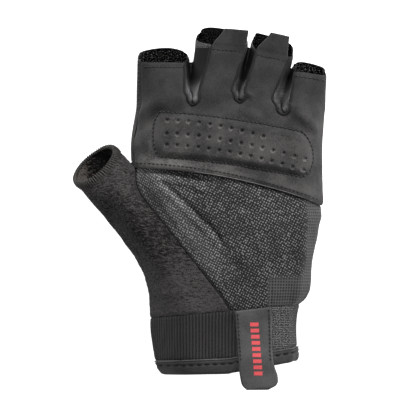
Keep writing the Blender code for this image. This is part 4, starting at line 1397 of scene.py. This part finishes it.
# The grip panel
# Black woven cloth printed all over with small light grey grip dots, sewn in under the leather's hem. It
# creases where the thumb folds over, in a long channel from the hem towards the middle of the heel.
GRIP_WALL = 0.0011
GRIP_SINK = 0.0004
GRIP_WAVES = (Wave(0.009, 0.0006), Wave(0.0030, 0.00016))
GRIP_CALM = 0.003
GRIP_DARK = (0.013, 0.0127, 0.0127)
GRIP_LIGHT = (0.255, 0.251, 0.251)
DOT_PITCH = 0.00134
DOT_UNEVENNESS = 0.34
DOT_ROWS_SLANT = math.radians(27)
WEAVE_PITCH = 0.00150
WEAVE_LIGHT = 0.26

# The cloth bulges out along the little finger's side, and most at the heel
SIDE_BULGE = 0.0011
SIDE_BULGE_X = 0.030
SIDE_BULGE_EASE_X = 0.010
SIDE_BULGE_EASE_Y = 0.006
HEEL_BULGE = 0.0005
HEEL_BULGE_Y = -0.0455
HEEL_BULGE_LENGTH = 0.004

# Where only the weave shows, from none to all: a corner at the heel, and an edge along the side
PLAIN_FROM_X = (0.0200, 0.0222)
PLAIN_FROM_Y = (-0.0335, -0.0385)
PLAIN_EDGE_FROM_X = (0.0400, 0.0425)

# Painted light: the cloth and its dots are painted lighter beside the thumb's seam, where the valley is in
# shade.
# Shares of the way across and along add up to the distance
PAINTED_LIGHT_SLANT = (0.846, 0.533)
PAINTED_LIGHT_FROM = (-0.0120, -0.0230)
PAINTED_LIGHT_FROM_Y = (-0.045, -0.020)
THUMB_SIDE_PAINTED_LIGHT = 0.14
DOT_LIGHT = 0.83
DOT_PAINTED_LIGHT_THUMB_SIDE = 0.95

# Creases where the thumb folds over, ridges beside them, and hollows of the heel and the side
GRIP_FOLDS = (
    Fold(-1.7, 1.4, ((-36.0, 13.6), (-26.2, 5.0), (-17.3, -3.5), (-9.0, -11.5), (0.0, -24.0))),
    Fold(-0.9, 0.8, ((-43.5, 17.5), (-29.5, 16.0), (-22.8, 14.3), (-14.7, 13.2), (-8.0, 10.8))),
    Fold(-0.7, 2.2, ((3.0, 1.0), (8.0, -1.5), (13.0, -3.5))),
    Fold(-0.6, 2.0, ((2.0, -26.0), (4.0, -30.0), (5.5, -34.0))),
    Fold(0.9, 1.8, ((-37.5, 11.5), (-27.5, 2.2), (-18.7, -6.2), (-10.6, -13.5), (-5.5, -22.0))),
    Fold(-1.6, 1.4, ((-44.0, 18.0), (-27.0, 15.8), (-18.0, 13.2), (-8.0, 9.3))),
    Fold(0.9, 1.6, ((-41.0, 13.6), (-27.0, 12.0), (-17.0, 8.8), (-9.0, 5.6))),
    Fold(-0.7, 3.0, ((22.0, -16.5), (22.0, -36.0))),
    Fold(-0.4, 0.7, ((21.0, -37.0), (21.0, -52.5))),
)


def printed_dots(finish, wear_and_highlight):
    """1 on the printed dots, which lie in slanted rows and are rubbed away unevenly, and 0 between them."""
    slanted = finish.node(
        "VectorRotate", {"rotation_type": "Z_AXIS"}, Vector=finish.cloth, Angle=DOT_ROWS_SLANT
    ).outputs[0]
    near = finish.cells(slanted, DOT_PITCH, DOT_UNEVENNESS)
    cloud = finish.mottle(0.010)
    return finish.step(finish.added((near, -1.0), (wear_and_highlight, -0.6), (cloud, -0.3)), low=-0.80, high=-0.52)


def dotted_cloth(name, dark, light):
    """Woven cloth with printed dots, a corner and an edge where only the regular weave shows, and painted
    light at the thumb.
    """
    finish = Finish(name, roughness=0.75, sheen=0.05, shine=0.25)
    wear_and_highlight = finish.mottle(0.0013)
    dots = printed_dots(finish, wear_and_highlight)
    across, along, _ = finish.axes(finish.cloth)
    waves = [finish.maths("SINE", finish.times(way, math.pi / WEAVE_PITCH)) for way in (across, along)]
    holes = finish.times(*[finish.maths("ABSOLUTE", wave) for wave in waves])
    grid = finish.step(finish.added((holes, -1.0), (wear_and_highlight, 0.5)), low=-0.58, high=-0.05)
    plain = finish.times(finish.step(across, *PLAIN_FROM_X), finish.step(along, *PLAIN_FROM_Y))
    plain = finish.maths("MAXIMUM", plain, finish.step(across, *PLAIN_EDGE_FROM_X))
    # Painted light beside the thumb's seam, on the cloth and brighter dots
    thumb_side = finish.step(finish.added(*zip((across, along), PAINTED_LIGHT_SLANT)), *PAINTED_LIGHT_FROM)
    thumb_side = finish.times(thumb_side, finish.step(along, *PAINTED_LIGHT_FROM_Y))
    lift = finish.maths("ADD", finish.times(thumb_side, DOT_PAINTED_LIGHT_THUMB_SIDE), DOT_LIGHT)
    printed = finish.times(finish.times(dots, finish.maths("SUBTRACT", 1.0, plain)), lift)
    marks = finish.added(
        (printed, 1.0), (finish.times(grid, plain), WEAVE_LIGHT), (thumb_side, THUMB_SIDE_PAINTED_LIGHT)
    )
    weave = finish.mottle(0.0004)
    darker = tuple(0.6 * part for part in dark)
    lighter = tuple(1.5 * part for part in dark)
    colour = finish.between(marks, finish.between(weave, darker, lighter), light)
    return finish.paint(colour, finish.added((marks, 0.8), (weave, 0.3)), depth=0.00009)


def grip_relief(places, outward, to_rim):
    across, along = places[:, 0], places[:, 1]
    bulge = SIDE_BULGE + HEEL_BULGE * np.exp(-((along - HEEL_BULGE_Y) / HEEL_BULGE_LENGTH) ** 2)
    bulge *= np.clip((across - SIDE_BULGE_X) / SIDE_BULGE_EASE_X, 0, 1)
    bulge *= np.clip(-along / SIDE_BULGE_EASE_Y, 0, 1)
    waves = uneven(places, *GRIP_WAVES)
    return folded(places, outward, GRIP_FOLDS) + (waves + bulge) * calm(to_rim, GRIP_CALM)


grip_cloth = dotted_cloth("dotted_grip", GRIP_DARK, GRIP_LIGHT)
grip = cut_panel(
    "grip_cloth", ("grip_panel",), GRIP_WALL, (grip_cloth, lining_net), rise=-GRIP_SINK, relief=grip_relief
)
fit(grip, "dotted_grip", "grip_panel")


# The thumb's sleeve
# Heathered black and grey brushed fleece, sewn into a short slanted sleeve that runs down to the cuff. Its
# mouth is overlocked: a slanting thread goes over the edge all the way round. A dark edge lies in the seam
# between the sleeve and the grip panel.
FLEECE_WALL = 0.0012
FLEECE_RISE = 0.0003
FLEECE_WAVES = (Wave(0.008, 0.0004), Wave(0.0014, 0.00022))
FLEECE_CALM = 0.002
FLEECE_STRETCH = (0.45, 1.5, 1.0)
RIM_PITCH = 0.0012
RIM_THREAD_RADIUS = 0.00027
RIM_SLANT = 0.0014
THUMB_SEAM_RADIUS = 0.00040

# The way of one stitch over the rim, in millimetres: lift is out from the fleece, reach down from the rim
RimStep = namedtuple("RimStep", "lift reach")
RIM_STEPS = (
    RimStep(0.35, 3.9),
    RimStep(0.72, 2.1),
    RimStep(0.62, 0.5),
    RimStep(0.10, -0.25),
    RimStep(-0.70, -0.3),
    RimStep(-1.40, 0.3),
    RimStep(-1.60, 1.2),
)

# Painted light and shade on the fleece, along axis 0 (across the hand) or 1 (along it), from none at the
# start to the full share at the end; a share under 0 paints it darker. The sleeve is painted lighter towards
# its root and its mouth, leaving its shaded middle dark; inside the mouth, the side that the light falls on
# is painted lighter and the top darker
Lift = namedtuple("Lift", "axis start end share")
FLEECE_PAINTED_LIGHT = (Lift(1, -0.016, -0.040, 0.098), Lift(1, -0.006, 0.014, 0.066))
MOUTH_PAINTED_LIGHT = (Lift(0, -0.066, -0.075, 0.170), Lift(1, 0.009, 0.020, -0.090))
THUMB_FOLDS = (
    Fold(-0.4, 2.2, ((-62.0, -14.0), (-54.0, -20.0), (-44.0, -22.0))),
    Fold(0.35, 2.0, ((-55.0, -26.0), (-45.0, -29.0), (-34.0, -29.0))),
    Fold(-0.4, 2.0, ((-47.0, -36.0), (-36.0, -37.0), (-22.0, -34.0))),
    Fold(0.4, 2.0, ((-43.0, -43.0), (-31.0, -44.5), (-16.0, -42.0))),
)


def fleece_cloth(name, dark, light, lifts):
    """Brushed heathered fleece: dark and light fibres in short streaks, with painted light and shade where
    lifted.
    """
    finish = Finish(name, roughness=0.95, sheen=0.08, shine=0.1)
    streaks = finish.mottle(0.0010, places=finish.stretched(finish.places, FLEECE_STRETCH))
    cloud = finish.mottle(0.006)
    fibre = finish.mottle(0.0005)
    ways = finish.axes(finish.places)
    shares = [(streaks, 0.46), (cloud, 0.08), (fibre, 0.46)]
    shares += [(finish.step(ways[lift.axis], lift.start, lift.end), lift.share) for lift in lifts]
    colour = finish.between(finish.step(finish.added(*shares), low=0.435, high=0.665), dark, light)
    return finish.paint(colour, finish.added((streaks, 0.5), (fibre, 0.5)), depth=0.0003)


def fleece_relief(places, outward, to_rim):
    waves = uneven(places, *FLEECE_WAVES) * calm(to_rim, FLEECE_CALM)
    return folded(places, outward, THUMB_FOLDS) + waves


def rim_paths_of(line):
    """An overlocked edge: each stitch goes from the outside over the edge to the inside, at a slant."""
    places = skin.places[line]
    outward = skin.outward[line]
    slides = RIM_SLANT * np.linspace(-0.5, 0.5, len(RIM_STEPS))
    paths = []
    for spot, way in zip(*evenly(places, RIM_PITCH)):
        out = outward[np.argmin(np.linalg.norm(places - spot, axis=1))]
        down = np.cross(way, out)
        down /= np.linalg.norm(down)
        paths.append([
            spot + MM * step.lift * out - MM * step.reach * down + slide * way
            for step, slide in zip(RIM_STEPS, slides)
        ])
    return paths


# The sleeve is painted lighter towards its root and its mouth
fleece = fleece_cloth("fleece", (0.0056, 0.0048, 0.0047), (0.067, 0.0632, 0.0625), FLEECE_PAINTED_LIGHT)
# Inside the mouth the fleece is near black, painted shade, with painted light on the side that the light
# falls on
fleece_inside_painted_shade = fleece_cloth("fleece_inside_painted_shade", (0.0006, 0.0005, 0.0005), (0.090, 0.079, 0.072), MOUTH_PAINTED_LIGHT)
sleeve = cut_panel(
    "thumb_fleece", ("thumb_sleeve",), FLEECE_WALL, (fleece, fleece_inside_painted_shade), rise=FLEECE_RISE,
    relief=fleece_relief,
)
fit(sleeve, "fleece", "thumb_sleeve")
rim_thread = thread("rim_thread", (0.058, 0.052, 0.048))
mouth_line = seam_lines(("thumb_sleeve",))[0]
rim_sewing = tubes("thumb_rim_stitching", rim_paths_of(mouth_line), RIM_THREAD_RADIUS, rim_thread)
fit(rim_sewing, "fleece")
dark_edge = nubuck("dark_edge", (0.0035, 0.0034, 0.0034), (0.0070, 0.0068, 0.0068))
thumb_line = skin.places[seam_lines(("thumb_sleeve",), ("grip_panel",))[0]]
thumb_seam = tubes("thumb_seam", [averaged(thumb_line, reach=3)[::2]], THUMB_SEAM_RADIUS, dark_edge)
fit(thumb_seam, "fleece")


# The gussets between the fingers
# Narrow strips of smooth stretch satin that join each two fingers, with net on the inside. They bunch up
# into folds at the crotches, which carry a painted shine, and a dark piped edge is sewn between each of them
# and the leather.
SATIN_WALL = 0.0010
SATIN_SINK = 0.0004
SATIN_CALM = 0.0012
SATIN_FOLD_HEIGHT = 0.00072
SATIN_FOLD_END = 1.3
SATIN_PUFF = 0.0013
SATIN_PUFF_END = 1.6
SATIN_FADE_LENGTH = 0.012
FAN_START = 0.0060
FAN_COUNT = 2.8
FAN_WAVE = Wave(0.006, 0.10)
SATIN_DARK = (0.0045, 0.0043, 0.0048)
SATIN_LIGHT = (0.0100, 0.0096, 0.0105)
SATIN_PAINTED_SHINE = (0.160, 0.158, 0.164)
SATIN_MESH_LIGHT = (0.120, 0.119, 0.119)
SATIN_MESH_PITCH = 0.0008
SATIN_MESH_OPENNESS = 0.06
SATIN_MESH_FROM_Y = (0.0782, 0.0790)
PAINTED_SHINE_FROM_Y = (0.0640, 0.0540)
PAINTED_SHINE_FROM_X = (0.012, -0.012)
PIPING_RADIUS = 0.00060
PIPING_RISE = 0.00005


def satin(name):
    """Smooth stretch satin with a faint twill, a painted shine at the crotches, and mesh near the rims."""
    finish = Finish(name, roughness=0.45, shine=0.12)
    twill = finish.node(
        "TexWave", {"bands_direction": "DIAGONAL"}, Vector=finish.places, Scale=450.0, Distortion=0.4
    ).outputs[1]
    cloud = finish.mottle(0.004)
    across, along, _ = finish.axes(finish.places)
    smooth = finish.between(finish.added((twill, 0.3), (cloud, 0.7)), SATIN_DARK, SATIN_LIGHT)
    # Painted shine: lighter towards the crotches, and most on the gussets towards the index finger
    painted_shine = finish.between(finish.added((twill, 0.2), (cloud, 0.8)), SATIN_LIGHT, SATIN_PAINTED_SHINE)
    shine = finish.maths("ADD", finish.times(finish.step(across, *PAINTED_SHINE_FROM_X), 0.6), 0.4)
    colour = finish.between(finish.times(finish.step(along, *PAINTED_SHINE_FROM_Y), shine), smooth, painted_shine)
    threads = net_threads(finish, SATIN_MESH_PITCH, SATIN_MESH_OPENNESS)
    meshed = finish.between(threads, SATIN_DARK, SATIN_MESH_LIGHT)
    colour = finish.between(finish.step(along, *SATIN_MESH_FROM_Y), colour, meshed)
    return finish.paint(colour, twill, depth=0.00002)


def satin_relief(places, outward, to_rim):
    """Long folds up the strip that fan out from its lower end, where it also puffs up."""
    spots = places - places[np.argmin(places[:, 1])]
    ahead = spots[:, 1] / SATIN_FADE_LENGTH
    fan = spots[:, 0] / (spots[:, 1] + FAN_START) + uneven(places, FAN_WAVE)
    folds = SATIN_FOLD_HEIGHT * np.sin(2 * math.pi * FAN_COUNT * fan) * np.clip(SATIN_FOLD_END - ahead, 0, 1)
    puff = SATIN_PUFF * np.clip(SATIN_PUFF_END - ahead, 0, 1)
    return (folds + puff) * calm(to_rim, SATIN_CALM) - SATIN_SINK


gusset_satin = satin("satin")
for gusset in GUSSETS:
    strip = cut_panel(
        "satin_" + gusset, (gusset,), SATIN_WALL, (gusset_satin, lining_net), relief=satin_relief, turn=1.0
    )
    fit(strip, "satin", gusset)
piping_paths = [edge[::2] + (0, 0, PIPING_RISE) for edge in gusset_edges]
piping = tubes("gusset_piping", piping_paths, PIPING_RADIUS, dark_edge)
fit(piping, "satin")


# The back of the hand
# Black open mesh knit over the whole back, with a narrow strip of leather up the index finger's side, sewn
# on with black stitches. The rims of the finger openings are edged with thread, brown on the middle two.
MESH_WALL = 0.0012
SIDE_SEAM_INSET = 0.0011
RIM_CORD_RADIUS = 0.00036
MIDDLE_RIMS_X = 0.010
MIDDLE_RIMS_REACH = 0.020
back_net = net("mesh_knit", dark=(0.003, 0.003, 0.003), light=(0.050, 0.050, 0.050), pitch=0.0011)
BACKS = ("back_panel", "back_side")
back = cut_panel("back_mesh", BACKS, MESH_WALL, (back_net, leather, lining_net), turn=1.0)
fit(back, "mesh_knit", "back_panel")
side_rows, side_splits = palm_low_and_split()
side_line = flat_line([side_rows[0], side_splits[0], opening_ring("index")[0]]) - (SIDE_SEAM_INSET, 0)
side_stitching = stitches(
    "side_stitching", [side_line], LEATHER_PITCH, LEATHER_STITCH, finder_of(back), black_thread
)
fit(side_stitching, "nubuck_leather")
brown_thread = thread("brown_thread", (0.034, 0.022, 0.015))
rim_cords = {"black": [], "brown": []}
for line in seam_lines(BACKS):
    places = skin.places[line[::2]]
    in_middle = abs(places[:, 0].mean() - MIDDLE_RIMS_X) < MIDDLE_RIMS_REACH
    rim_cords["brown" if in_middle else "black"].append(places - skin.outward[line[::2]] * RIM_CORD_RADIUS)
for colour, finish in (("black", black_thread), ("brown", brown_thread)):
    cord = tubes("finger_rims_" + colour, rim_cords[colour], RIM_CORD_RADIUS, finish)
    fit(cord, "mesh_knit")


# The cuff
# Ribbed elastic on the thumb's side and fine mesh knit round the rest, sewn under the heel. A folded tape
# binds the lower edge: it is stitched through with long black stitches near its upper edge.
CUFF_WAVE = Wave(0.008, 0.0004)
RIB_WALL = 0.0014
RIB_PITCH = 0.00167
RIB_HEIGHT = 0.00016
RIB_SHARE = 0.42
RIB_STITCH_SHARE = 0.58
RIB_STITCH_STRETCH = (1.0, 0.6, 1.0)
CUFF_MESH_SINK = 0.0002
BINDING_WALL = 0.0020
BINDING_RISE = 0.0006
BINDING_PUFF = 0.0004
BINDING_ROUND = 0.0010
BINDING_SEAM_INSET = 0.0021
BINDING_SEAM_DEPTH = 0.0005
BINDING_SEAM_WIDTH = 0.0006
BINDING_PITCH = 0.0040
BINDING_STITCH = 0.0027
BINDING_THREAD_RADIUS = 0.00045
BINDING_RIDGE_RADIUS = 0.0004
FRONT_TILT = 0.1
binding_line = sum(seam_lines(("cuff_binding",), ("cuff_rib", "cuff_mesh")), [])


def rib_relief(places, outward, to_rim):
    ribs = np.cos(2 * math.pi * cloth_places(places)[:, 0] / RIB_PITCH)
    return RIB_HEIGHT * ribs + uneven(places, CUFF_WAVE)


def rib_cloth(name, dark, light):
    """Ribbed knit: light ribs and dark furrows that run towards the hand."""
    finish = Finish(name, roughness=0.85, sheen=0.08, shine=0.2)
    # A wave texture of scale 1 repeats each 2 pi / 20 along its axis
    ribs = finish.node(
        "TexWave", {"wave_profile": "SIN"}, Vector=finish.cloth, Scale=2 * math.pi / (20 * RIB_PITCH),
        Distortion=0.5, Detail=1.0, _3=3.0,
    ).outputs[1]
    stitch = finish.mottle(0.0006, places=finish.stretched(finish.cloth, RIB_STITCH_STRETCH))
    share = finish.added((ribs, RIB_SHARE), (stitch, RIB_STITCH_SHARE))
    share = finish.step(share, low=0.15, high=0.85)
    return finish.paint(finish.between(share, dark, light), share, depth=0.0003)


def binding_relief(places, outward, to_rim):
    from_seam = distances(places, skin.places[binding_line]) - BINDING_SEAM_INSET
    puff = BINDING_PUFF * (1 - np.exp(-(to_rim / BINDING_ROUND) ** 2))
    return puff - BINDING_SEAM_DEPTH * np.exp(-(from_seam / BINDING_SEAM_WIDTH) ** 2)


rib_knit = rib_cloth("rib_knit", (0.0075, 0.0070, 0.0073), (0.040, 0.0375, 0.0385))
ribbed = cut_panel("cuff_ribbing", ("cuff_rib",), RIB_WALL, (rib_knit, lining_net), relief=rib_relief)
fit(ribbed, "rib_knit", "cuff_rib")
cuff_net = net("cuff_knit", dark=(0.022, 0.022, 0.022), light=(0.150, 0.148, 0.149), pitch=0.00085)
knitted = cut_panel("cuff_knit", ("cuff_mesh",), MESH_WALL, (cuff_net, lining_net), rise=-CUFF_MESH_SINK)
fit(knitted, "mesh_knit", "cuff_mesh")
tape = nubuck("binding_tape", (0.026, 0.0252, 0.0255), (0.050, 0.0485, 0.049))
binding = cut_panel(
    "cuff_tape", ("cuff_binding",), BINDING_WALL, (tape, tape), rise=BINDING_RISE, relief=binding_relief
)
fit(binding, "binding_tape", "cuff_binding")
# A pale cord along the tape's upper fold: a painted highlight where the fold catches the light
tape_highlight = nubuck("tape_painted_highlight", (0.055, 0.0530, 0.054), (0.095, 0.0920, 0.093))
ridge = skin.places[binding_line] + skin.outward[binding_line] * BINDING_RIDGE_RADIUS
highlight_cord = tubes("tape_highlight_cord", [ridge[::2]], BINDING_RIDGE_RADIUS, tape_highlight)
fit(highlight_cord, "binding_tape")
tape_line = skin.places[binding_line][skin.outward[binding_line][:, 2] > FRONT_TILT][:, :2]
tape_line = tape_line[np.argsort(tape_line[:, 0])] - (0, BINDING_SEAM_INSET)
tape_stitching = stitches(
    "tape_stitching", [tape_line], BINDING_PITCH, BINDING_STITCH, finder_of(binding), dark_edge,
    BINDING_THREAD_RADIUS,
)
fit(tape_stitching, "binding_tape")


# The wrist tab
# A strap of grey synthetic nubuck for pulling the glove on and off, sewn over the cuff along both edges and
# left free past the binding. Small red bars are printed down its middle.
WRIST_TAB_WIDTH = 0.0176
WRIST_TAB_LENGTH = 0.0404
WRIST_TAB_ACROSS_SHARE = 0.134
WRIST_TAB_ROWS = (
    TabRow(0.00, -0.56, 0.46),
    TabRow(0.12, -0.55, 0.47),
    TabRow(0.27, -0.53, 0.48),
    TabRow(0.40, -0.51, 0.49),
    TabRow(0.52, -0.49, 0.49),
    TabRow(0.64, -0.47, 0.51),
    TabRow(0.73, -0.46, 0.56),
    TabRow(0.82, -0.43, 0.64),
    TabRow(0.90, -0.40, 0.66),
    TabRow(0.96, -0.35, 0.59),
    TabRow(1.00, -0.22, 0.34),
)
WRIST_TAB_SLANT = 0.12
WRIST_TAB_START = 0.0009
WRIST_TAB_SEWN_ROWS = 6
WRIST_EDGE = 0.0008
WRIST_EDGE_WALL = 0.0003
WRIST_EASE = 24
WRIST_SEAM_INSET = 0.0012
WRIST_PITCH = 0.0020
BAR_COUNT = 9
BAR_FIRST = 0.192
BAR_LAST = 0.795
BAR_ACROSS_SHARE = -0.055
BAR_DRIFT_SHARE = 0.185
BAR_WIDTH = 0.0042
BAR_HEIGHT = 0.0019
BAR_LIFT = 0.00006
BAR_SHAPE = (5, 11)
RIGHT = Vector((1, 0, 0))
DOWN_THE_WRIST = Vector((0, -1, 0))
strap_top = Vector((WRIST_TAB_ACROSS_SHARE * PALM_WIDTH, WRIST_TAB_START - 0.5 * PALM_LENGTH, 0))


def strap_place(across, ahead):
    """A place on the tab by shares of its width, from its middle line, and of its length."""
    return strap_top + RIGHT * (across * WRIST_TAB_WIDTH) + DOWN_THE_WRIST * (ahead * WRIST_TAB_LENGTH)


strap_finish = nubuck("strap_nubuck", (0.046, 0.045, 0.045), (0.084, 0.082, 0.082))
spots = tab_spots(
    strap_top, RIGHT, DOWN_THE_WRIST, WRIST_TAB_WIDTH, WRIST_TAB_LENGTH, WRIST_TAB_ROWS, WRIST_TAB_SLANT
)
under_strap = finder_of(ribbed, knitted, binding, grip)
base = eased(tab_base(under_strap, spots, lowest=0.5 * CUFF_DEPTH), WRIST_EASE)
wall = TAB_WALL * rounded(spots, WRIST_EDGE) + WRIST_EDGE_WALL
strap = laid_piece("wrist_strap", spots, TAB_SHAPE, base, wall, (strap_finish,))
fit(strap, "nubuck_leather", "wrist_tab")
strap_finder = finder_of(strap)
inset = WRIST_SEAM_INSET / WRIST_TAB_WIDTH
sewn_rows = WRIST_TAB_ROWS[:WRIST_TAB_SEWN_ROWS]
strap_rows = [
    flat_line([strap_place(row.left + inset, row.ahead) for row in sewn_rows]),
    flat_line([strap_place(row.right - inset, row.ahead) for row in sewn_rows]),
]
strap_stitching = stitches(
    "strap_stitching", strap_rows, WRIST_PITCH, LEATHER_STITCH, strap_finder, black_thread
)
fit(strap_stitching, "nubuck_leather")

red_print = thread("red_print", (0.90, 0.105, 0.120))
bar_rows, bar_columns = BAR_SHAPE
bar_y, bar_x = np.meshgrid(
    BAR_HEIGHT * np.linspace(0.5, -0.5, bar_rows), BAR_WIDTH * np.linspace(-0.5, 0.5, bar_columns),
    indexing="ij",
)
bar_spots = []
bar_faces = []
for number, ahead in enumerate(np.linspace(BAR_FIRST, BAR_LAST, BAR_COUNT)):
    middle = strap_place(BAR_ACROSS_SHARE + BAR_DRIFT_SHARE * ahead, ahead)
    bar_spots.append(np.column_stack((middle.x + bar_x.ravel(), middle.y + bar_y.ravel())))
    bar_faces.append(grid_faces(*BAR_SHAPE)[:, ::-1] + number * bar_rows * bar_columns)
bar_spots = np.vstack(bar_spots)
bar_heights = [height_under(strap_finder, spot) + BAR_LIFT for spot in bar_spots]
bar_places = np.column_stack((bar_spots, bar_heights))
bars = make_piece("strap_bars", bar_places, np.vstack(bar_faces), (red_print,))
fit(bars, "nubuck_leather")


# Floor, light and camera
# The glove lies on a white table under soft studio light: a key light beyond the fingers and a weaker one on
# each side. The camera looks straight down on it.
PHOTO_MIDDLE = (-0.0105, -0.0015)
PHOTO_WIDTH = 0.208
CAMERA_HEIGHT = 3.0
SENSOR = 36.0
GLOVE_LEVEL = 0.012
TABLE_SIZE = 6.0
TABLE_GAP = 0.0001
TABLE_WHITE = (0.8, 0.8, 0.8, 1)
TABLE_ROUGHNESS = 0.9
PURE_WHITE = (1, 1, 1, 1)
ROOM_STRENGTH = 0.30

Light = namedtuple("Light", "name place size power")
LIGHTS = (
    Light("key_light", (0.10, 0.85, 0.62), 0.30, 11.0),
    Light("right_light", (0.90, 0.15, 0.50), 0.40, 6.0),
    Light("left_light", (-0.90, 0.25, 0.50), 0.40, 2.1),
)


def stand(name, data):
    """Puts something into the scene that isn't part of the glove."""
    made = bpy.data.objects.new(name, data)
    bpy.context.scene.collection.objects.link(made)
    return made


table_mesh = bpy.data.meshes.new("table")
corner = 0.5 * TABLE_SIZE
corners = ((-corner, -corner), (corner, -corner), (corner, corner), (-corner, corner))
table_mesh.from_pydata([(*place, -TABLE_GAP) for place in corners], [], [(0, 1, 2, 3)])
table_finish = bpy.data.materials.new("white_table")
table_finish.use_nodes = True
table_shader = table_finish.node_tree.nodes["Principled BSDF"]
table_shader.inputs["Base Color"].default_value = TABLE_WHITE
table_shader.inputs["Roughness"].default_value = TABLE_ROUGHNESS
table_shader.inputs["Emission Color"].default_value = PURE_WHITE
seen = table_finish.node_tree.nodes.new("ShaderNodeLightPath")
table_finish.node_tree.links.new(seen.outputs["Is Camera Ray"], table_shader.inputs["Emission Strength"])
table_mesh.materials.append(table_finish)
table = stand("table", table_mesh)

for light in LIGHTS:
    lamp = bpy.data.lights.new(light.name, "AREA")
    lamp.shape = "DISK"
    lamp.size = light.size
    lamp.energy = light.power
    lamp_stand = stand(light.name, lamp)
    lamp_stand.location = light.place
    lamp_stand.rotation_euler = Vector(light.place).to_track_quat("Z", "Y").to_euler()

room = bpy.data.worlds.new("studio")
room.use_nodes = True
room.node_tree.nodes["Background"].inputs["Color"].default_value = PURE_WHITE
room.node_tree.nodes["Background"].inputs["Strength"].default_value = ROOM_STRENGTH
bpy.context.scene.world = room
bpy.context.scene.view_settings.view_transform = "Standard"

camera = bpy.data.cameras.new("camera")
camera.sensor_width = SENSOR
camera.lens = SENSOR * (CAMERA_HEIGHT - GLOVE_LEVEL) / PHOTO_WIDTH
camera.clip_end = 2 * CAMERA_HEIGHT
bpy.context.scene.camera = stand("camera", camera)
bpy.context.scene.camera.location = (*PHOTO_MIDDLE, CAMERA_HEIGHT)

bpy.context.view_layer.update()
